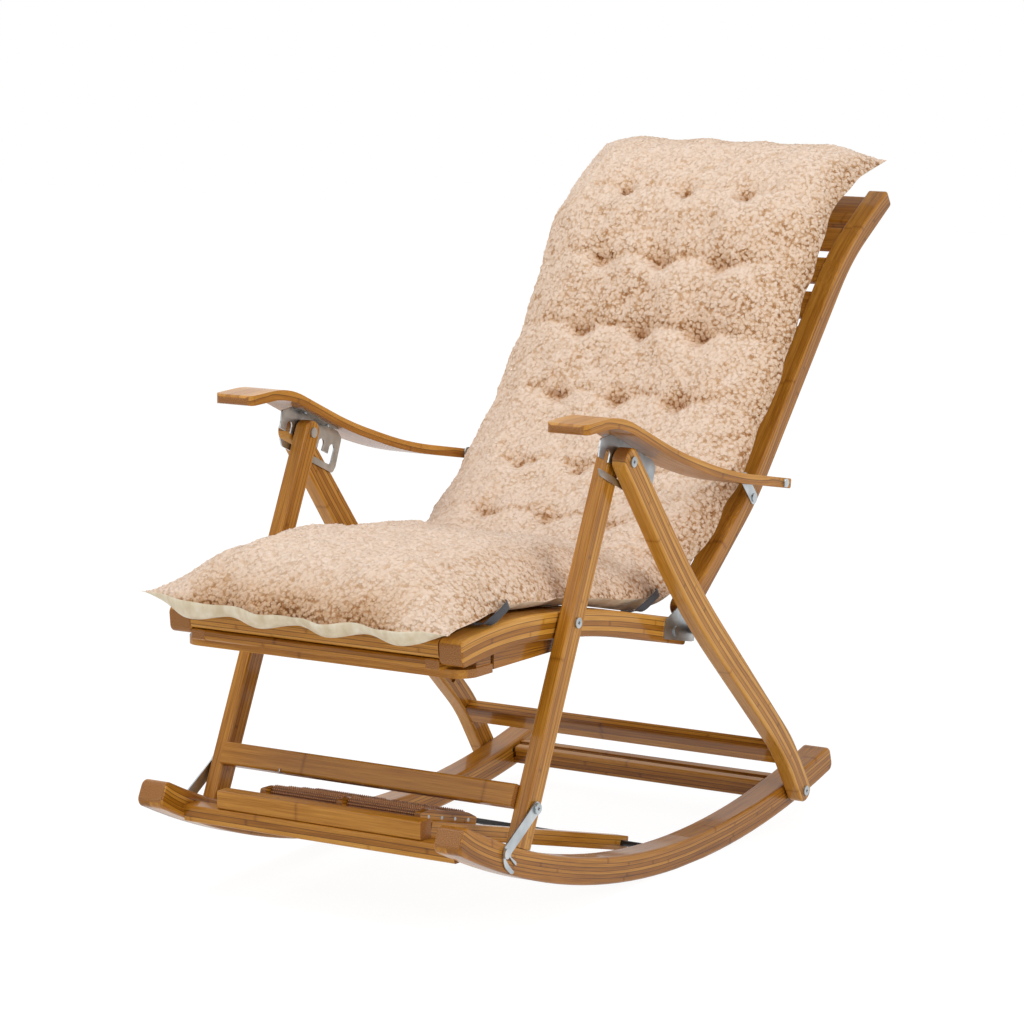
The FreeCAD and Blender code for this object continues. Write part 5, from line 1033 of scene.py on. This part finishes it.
gaps = add(tree, "Math", [spots, add(tree, "Math", [broken, 0.5, 0.5], operation="MULTIPLY_ADD")],
           operation="MULTIPLY")
knots = add(tree, "Math", [1.0, gaps], operation="SUBTRACT")
fuzz = add(tree, "TexNoise", {"Vector": rest_place, "Scale": 520.0, "Detail": 2.0})
patch = add(tree, "TexNoise", {"Vector": rest_place, "Scale": 60.0, "Detail": 2.0})
# Painted shade: how far the fleece faces away from the top lamp.
painted_facing_shade_fac = add(tree, "Attribute", attribute_name="hanging").outputs["Fac"]
painted_crease_shade_fac = add(tree, "Attribute", attribute_name="painted_crease_shade").outputs["Fac"]
# Fine fuzz, plus painted shade in the gaps between curls, from the cell pattern and from the curl height.
grains = add(tree, "Math", [fuzz, 0.30], operation="MULTIPLY")
grains = add(tree, "Math", [knots, 0.46, grains], operation="MULTIPLY_ADD")
grains = add(tree, "Math", [painted_curl_shade, 0.34, grains], operation="MULTIPLY_ADD")
level = add(tree, "Math", [grains, 0.66], operation="SUBTRACT")
# The facing value strengthens the painted shade in the gaps and darkens the whole colour where the fleece faces away
# from the lamp.
level = add(tree, "Math", [level, add(tree, "Math", [painted_facing_shade_fac, 0.70, 0.50], operation="MULTIPLY_ADD")],
            operation="MULTIPLY")
level = add(tree, "Math", [level, add(tree, "Math", [painted_facing_shade_fac, -0.22, 0.77], operation="MULTIPLY_ADD")], operation="ADD")
# Painted shade in the creases: browner the further below the puffs a place lies.
level = add(tree, "Math", [painted_crease_shade_fac, -0.22, level], operation="MULTIPLY_ADD")
patch = add(tree, "Math", [patch, 0.5], operation="SUBTRACT")
level = add(tree, "Math", [patch, 0.16, level], operation="MULTIPLY_ADD", use_clamp=True)
# The ramp's darkest browns are painted shade; the pale creams are the fleece's own colour.
tint = add(tree, "ValToRGB", [level], stops=[(0.0, "#7A4C26"), (0.25, "#AE7F55"), (0.45, "#CBA582"),
                                             (0.65, "#E0C3A9"), (0.85, "#ECD6C4"), (1.0, "#F4E6DA")])
heap = [add(tree, "Math", [part, share], operation="MULTIPLY") for part, share in ((knots, 0.8), (fuzz, 0.35))]
heap = add(tree, "Math", heap, operation="ADD")
bump = add(tree, "Bump", {"Strength": 0.75, "Distance": 0.002, "Height": heap})
pile = add(tree, "BsdfPrincipled", {"Base Color": tint, "Roughness": 0.95, "Normal": bump, "Specular IOR Level": 0.12,
                                    "Sheen Weight": 0.3, "Sheen Roughness": 0.5, "Sheen Tint": linear("#FFEBDD")})
add(tree, "OutputMaterial", [pile])

# %% [markdown]
# Weave is two sets of waves at right angles, multiplied: the result is high where a thread of each set is high.

# %% Cream cotton
cotton, tree = new_material("cream_woven_cotton")
cloth = add(tree, "UVMap", uv_map="cloth")
threads = {"Vector": cloth, "Scale": 160.0, "Distortion": 0.6}
warp, weft = (add(tree, "TexWave", threads, wave_type="BANDS", bands_direction=way).outputs["Fac"]
              for way in ("X", "Y"))
crumple = add(tree, "TexNoise", {"Vector": cloth, "Scale": 60.0, "Detail": 3.0}, noise_dimensions="2D")
tint = add(tree, "ValToRGB", [crumple], stops=[(0.3, "#D9C7A6"), (0.55, "#E8DABF"), (0.75, "#F1E7D2")])
weave = add(tree, "Math", [warp, weft], operation="MULTIPLY")
height = add(tree, "Math", [weave, 0.25, crumple], operation="MULTIPLY_ADD")
bump = add(tree, "Bump", {"Strength": 0.5, "Distance": 0.0015, "Height": height})
woven = add(tree, "BsdfPrincipled", {"Base Color": tint, "Roughness": 0.85, "Normal": bump,
                                     "Specular IOR Level": 0.25, "Sheen Weight": 0.15, "Sheen Roughness": 0.5})
add(tree, "OutputMaterial", [woven])
for piece in (cushion_seat, cushion_back):
    piece.data.materials.append(fleece)
    piece.data.materials.append(cotton)
print("fleece and cotton made")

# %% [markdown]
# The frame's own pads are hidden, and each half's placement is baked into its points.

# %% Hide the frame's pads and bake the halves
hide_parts("pad_seat")
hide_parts("pad_back")
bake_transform(cushion_seat)
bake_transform(cushion_back)

# %% [markdown]
# ## Ties and small fittings
# Short elastic bands hold the cushion to the seat rails: sewn into the side seam, pulled down and tucked under. They
# are dark grey woven elastic, 12 mm wide. A band is a rounded rectangle carried along a smooth path. The path gets
# its points from the same cubic that refined the cushion.

# %% Elastic ties
def band(name, path, wide_ways, width=12.0, thick=1.6, samples=48, around=16):
    """A closed strip along path (mm). Every section is a superellipse with the power 0.5, turned so that its width
    lies along wide_ways, and both ends shrink to a small rounded tip."""
    matrix = refine(len(path), samples)
    line, ways = matrix @ np.array(path, float), matrix @ np.array(wide_ways, float)
    forward = np.gradient(line, axis=0)
    forward /= np.linalg.norm(forward, axis=1, keepdims=True)
    ways -= (ways * forward).sum(1, keepdims=True) * forward
    ways /= np.linalg.norm(ways, axis=1, keepdims=True)
    out_ways = np.cross(forward, ways)
    turn = np.linspace(0, 2 * np.pi, around, endpoint=False)
    a, b = (0.5 * size * np.sign(wave) * np.abs(wave) ** 0.5
            for size, wave in ((width, np.cos(turn)), (thick, np.sin(turn))))
    end = np.minimum(np.arange(samples), np.arange(samples)[::-1])
    slim = np.clip(end / 2.0, 0.02, 1.0) ** 0.5
    rings = line[:, None] + slim[:, None, None] * (a[None, :, None] * ways[:, None]
                                                   + b[None, :, None] * out_ways[:, None])
    number = np.arange(samples * around).reshape(samples, around)
    faces = squares(np.pad(number, ((0, 0), (0, 1)), mode="wrap"), flip=True).tolist()
    piece = new_piece(name, (rings.reshape(-1, 3) * MM).tolist(),
                      faces + [number[0, ::-1].tolist(), number[-1].tolist()])
    run = np.r_[0, np.cumsum(np.linalg.norm(np.diff(line, axis=0), axis=1))]
    lay_cloth_map(piece, np.stack(np.meshgrid(run, a, indexing="ij"), -1).reshape(-1, 2) * MM)
    return piece


elastic, tree = new_material("dark_woven_elastic")
cloth = add(tree, "UVMap", uv_map="cloth")
ribs = add(tree, "TexWave", {"Vector": cloth, "Scale": 220.0, "Distortion": 0.4}, wave_type="BANDS",
           bands_direction="X").outputs["Fac"]
tint = add(tree, "ValToRGB", [ribs], stops=[(0.2, "#202127"), (0.8, "#3B3D45")])
bump = add(tree, "Bump", {"Strength": 0.4, "Distance": 0.0004, "Height": ribs})
add(tree, "OutputMaterial", [add(tree, "BsdfPrincipled", {"Base Color": tint, "Roughness": 0.7, "Normal": bump,
                                                          "Sheen Weight": 0.2, "Sheen Roughness": 0.5})])
tie_paths = {"front": [(212, -416, 414), (221, -428, 414), (224, -450, 407), (223, -468, 400.5), (213, -476, 397.2),
                       (196, -478, 396.6)],
             "rear": [(212, -50, 372), (221, -62, 374), (224, -84, 368), (223, -104, 361), (213, -112, 356.6),
                      (196, -114, 356.2)]}
tie_ways = [(0, -0.5, 0.86), (0, -0.5, 0.86), (0, -0.45, 0.89), (0, -0.6, 0.6), (0, -1, 0), (0, -1, 0)]
for place_name, tie_path in tie_paths.items():
    for side, sign in (("right", 1), ("left", -1)):
        tie = band("tie_%s_%s" % (place_name, side), [(sign * px, py, pz) for px, py, pz in tie_path], tie_ways)
        if sign < 0:
            tie.data.flip_normals()
        tie.data.materials.append(elastic)
        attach(tie, "seat_frame")
print("4 ties")

# %% [markdown]
# Bolt heads have a cross recess for the screwdriver. It shows as a dark cross, because no light leaves its bottom, so
# a thin dark cross set into each head does the same. The outline of a cross is a square with its corners taken out,
# twelve points, and front and back are joined by a wall.

# %% Cross recesses
pit, tree = new_material("shadowed_cross_recess")
# Painted shade: the near-black cross stands for the shadow in the recess, and the noise only varies it.
painted_recess_shade = add(tree, "TexNoise", {"Vector": add(tree, "TexCoord").outputs["Object"], "Scale": 900.0, "Detail": 2.0})
tint = add(tree, "ValToRGB", [painted_recess_shade], stops=[(0.3, "#232323"), (0.7, "#4A4B4C")])
add(tree, "OutputMaterial", [add(tree, "BsdfPrincipled", {"Base Color": tint, "Metallic": 0.6, "Roughness": 0.6})])


def cross_recess(name, body, x, y, z, arm=2.4, bar=0.65, sunk=0.7, proud=0.12):
    """A thin cross on the head whose top is at x, all in mm: from sunk under the top to proud above it."""
    corner = np.array([(arm, bar), (bar, bar), (bar, arm)])
    quarter_turns = [np.array([[np.cos(q), -np.sin(q)], [np.sin(q), np.cos(q)]]).round(9)
                     for q in np.arange(4) * 0.5 * np.pi]
    flat = np.vstack([corner @ turn.T for turn in quarter_turns]) + (y, z)
    sign = np.sign(x)
    points = np.vstack([np.c_[np.full(12, depth), flat] for depth in (x - sign * sunk, x + sign * proud)]) * MM
    number = np.arange(24).reshape(2, 12)
    walls = squares(np.pad(number, ((0, 0), (0, 1)), mode="wrap"), flip=True).tolist()
    faces = [number[0, ::-1].tolist(), number[1].tolist()] + walls
    piece = new_piece(name, points.tolist(), faces if sign > 0 else [face[::-1] for face in faces], smooth=False)
    piece.data.materials.append(pit)
    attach(piece, body)


heads = {"leg_top": ("rear_leg_frame", 277.1, -216.2, 572.5), "leg_foot": ("rear_leg_frame", 277.1, 254.8, 50.6),
         "seat": ("seat_frame", 250.8, -306.9, 375.4), "latch": ("front_leg_frame", 255.2, -408.5, 154.7)}
for place_name, (body, x, y, z) in heads.items():
    for side, sign in (("right", 1), ("left", -1)):
        cross_recess("cross_recess_%s_%s" % (place_name, side), body, sign * x, y, z)
print(2 * len(heads), "cross recesses")

# %% [markdown]
# A small steel screw eye sits on the front of the leg crossbar: a ring of 1.4 mm wire, 7 mm across, half sunk into
# the wood.

# %% Screw eye
eye_centre, eye_radius, wire_radius = (-129.0, -431.5, 160.0), 3.0, 0.7
turn = np.linspace(0, 2 * np.pi, 32, endpoint=False)[:, None]
tube = np.linspace(0, 2 * np.pi, 12, endpoint=False)[None, :]
ring_radius = eye_radius + wire_radius * np.cos(tube)
eye = (wire_radius * np.sin(tube) + 0 * turn, -ring_radius * np.cos(turn), ring_radius * np.sin(turn))
eye_grid = np.stack([middle + part for middle, part in zip(eye_centre, eye)], -1) * MM
screw_eye = loop_grid(eye_grid, "screw_eye", np.zeros((32, 12)), "wear")
screw_eye.data.materials.append(zinc)
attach(screw_eye, "front_leg_frame")
print("screw eye at", np.round(eye_grid.mean((0, 1)), 3))
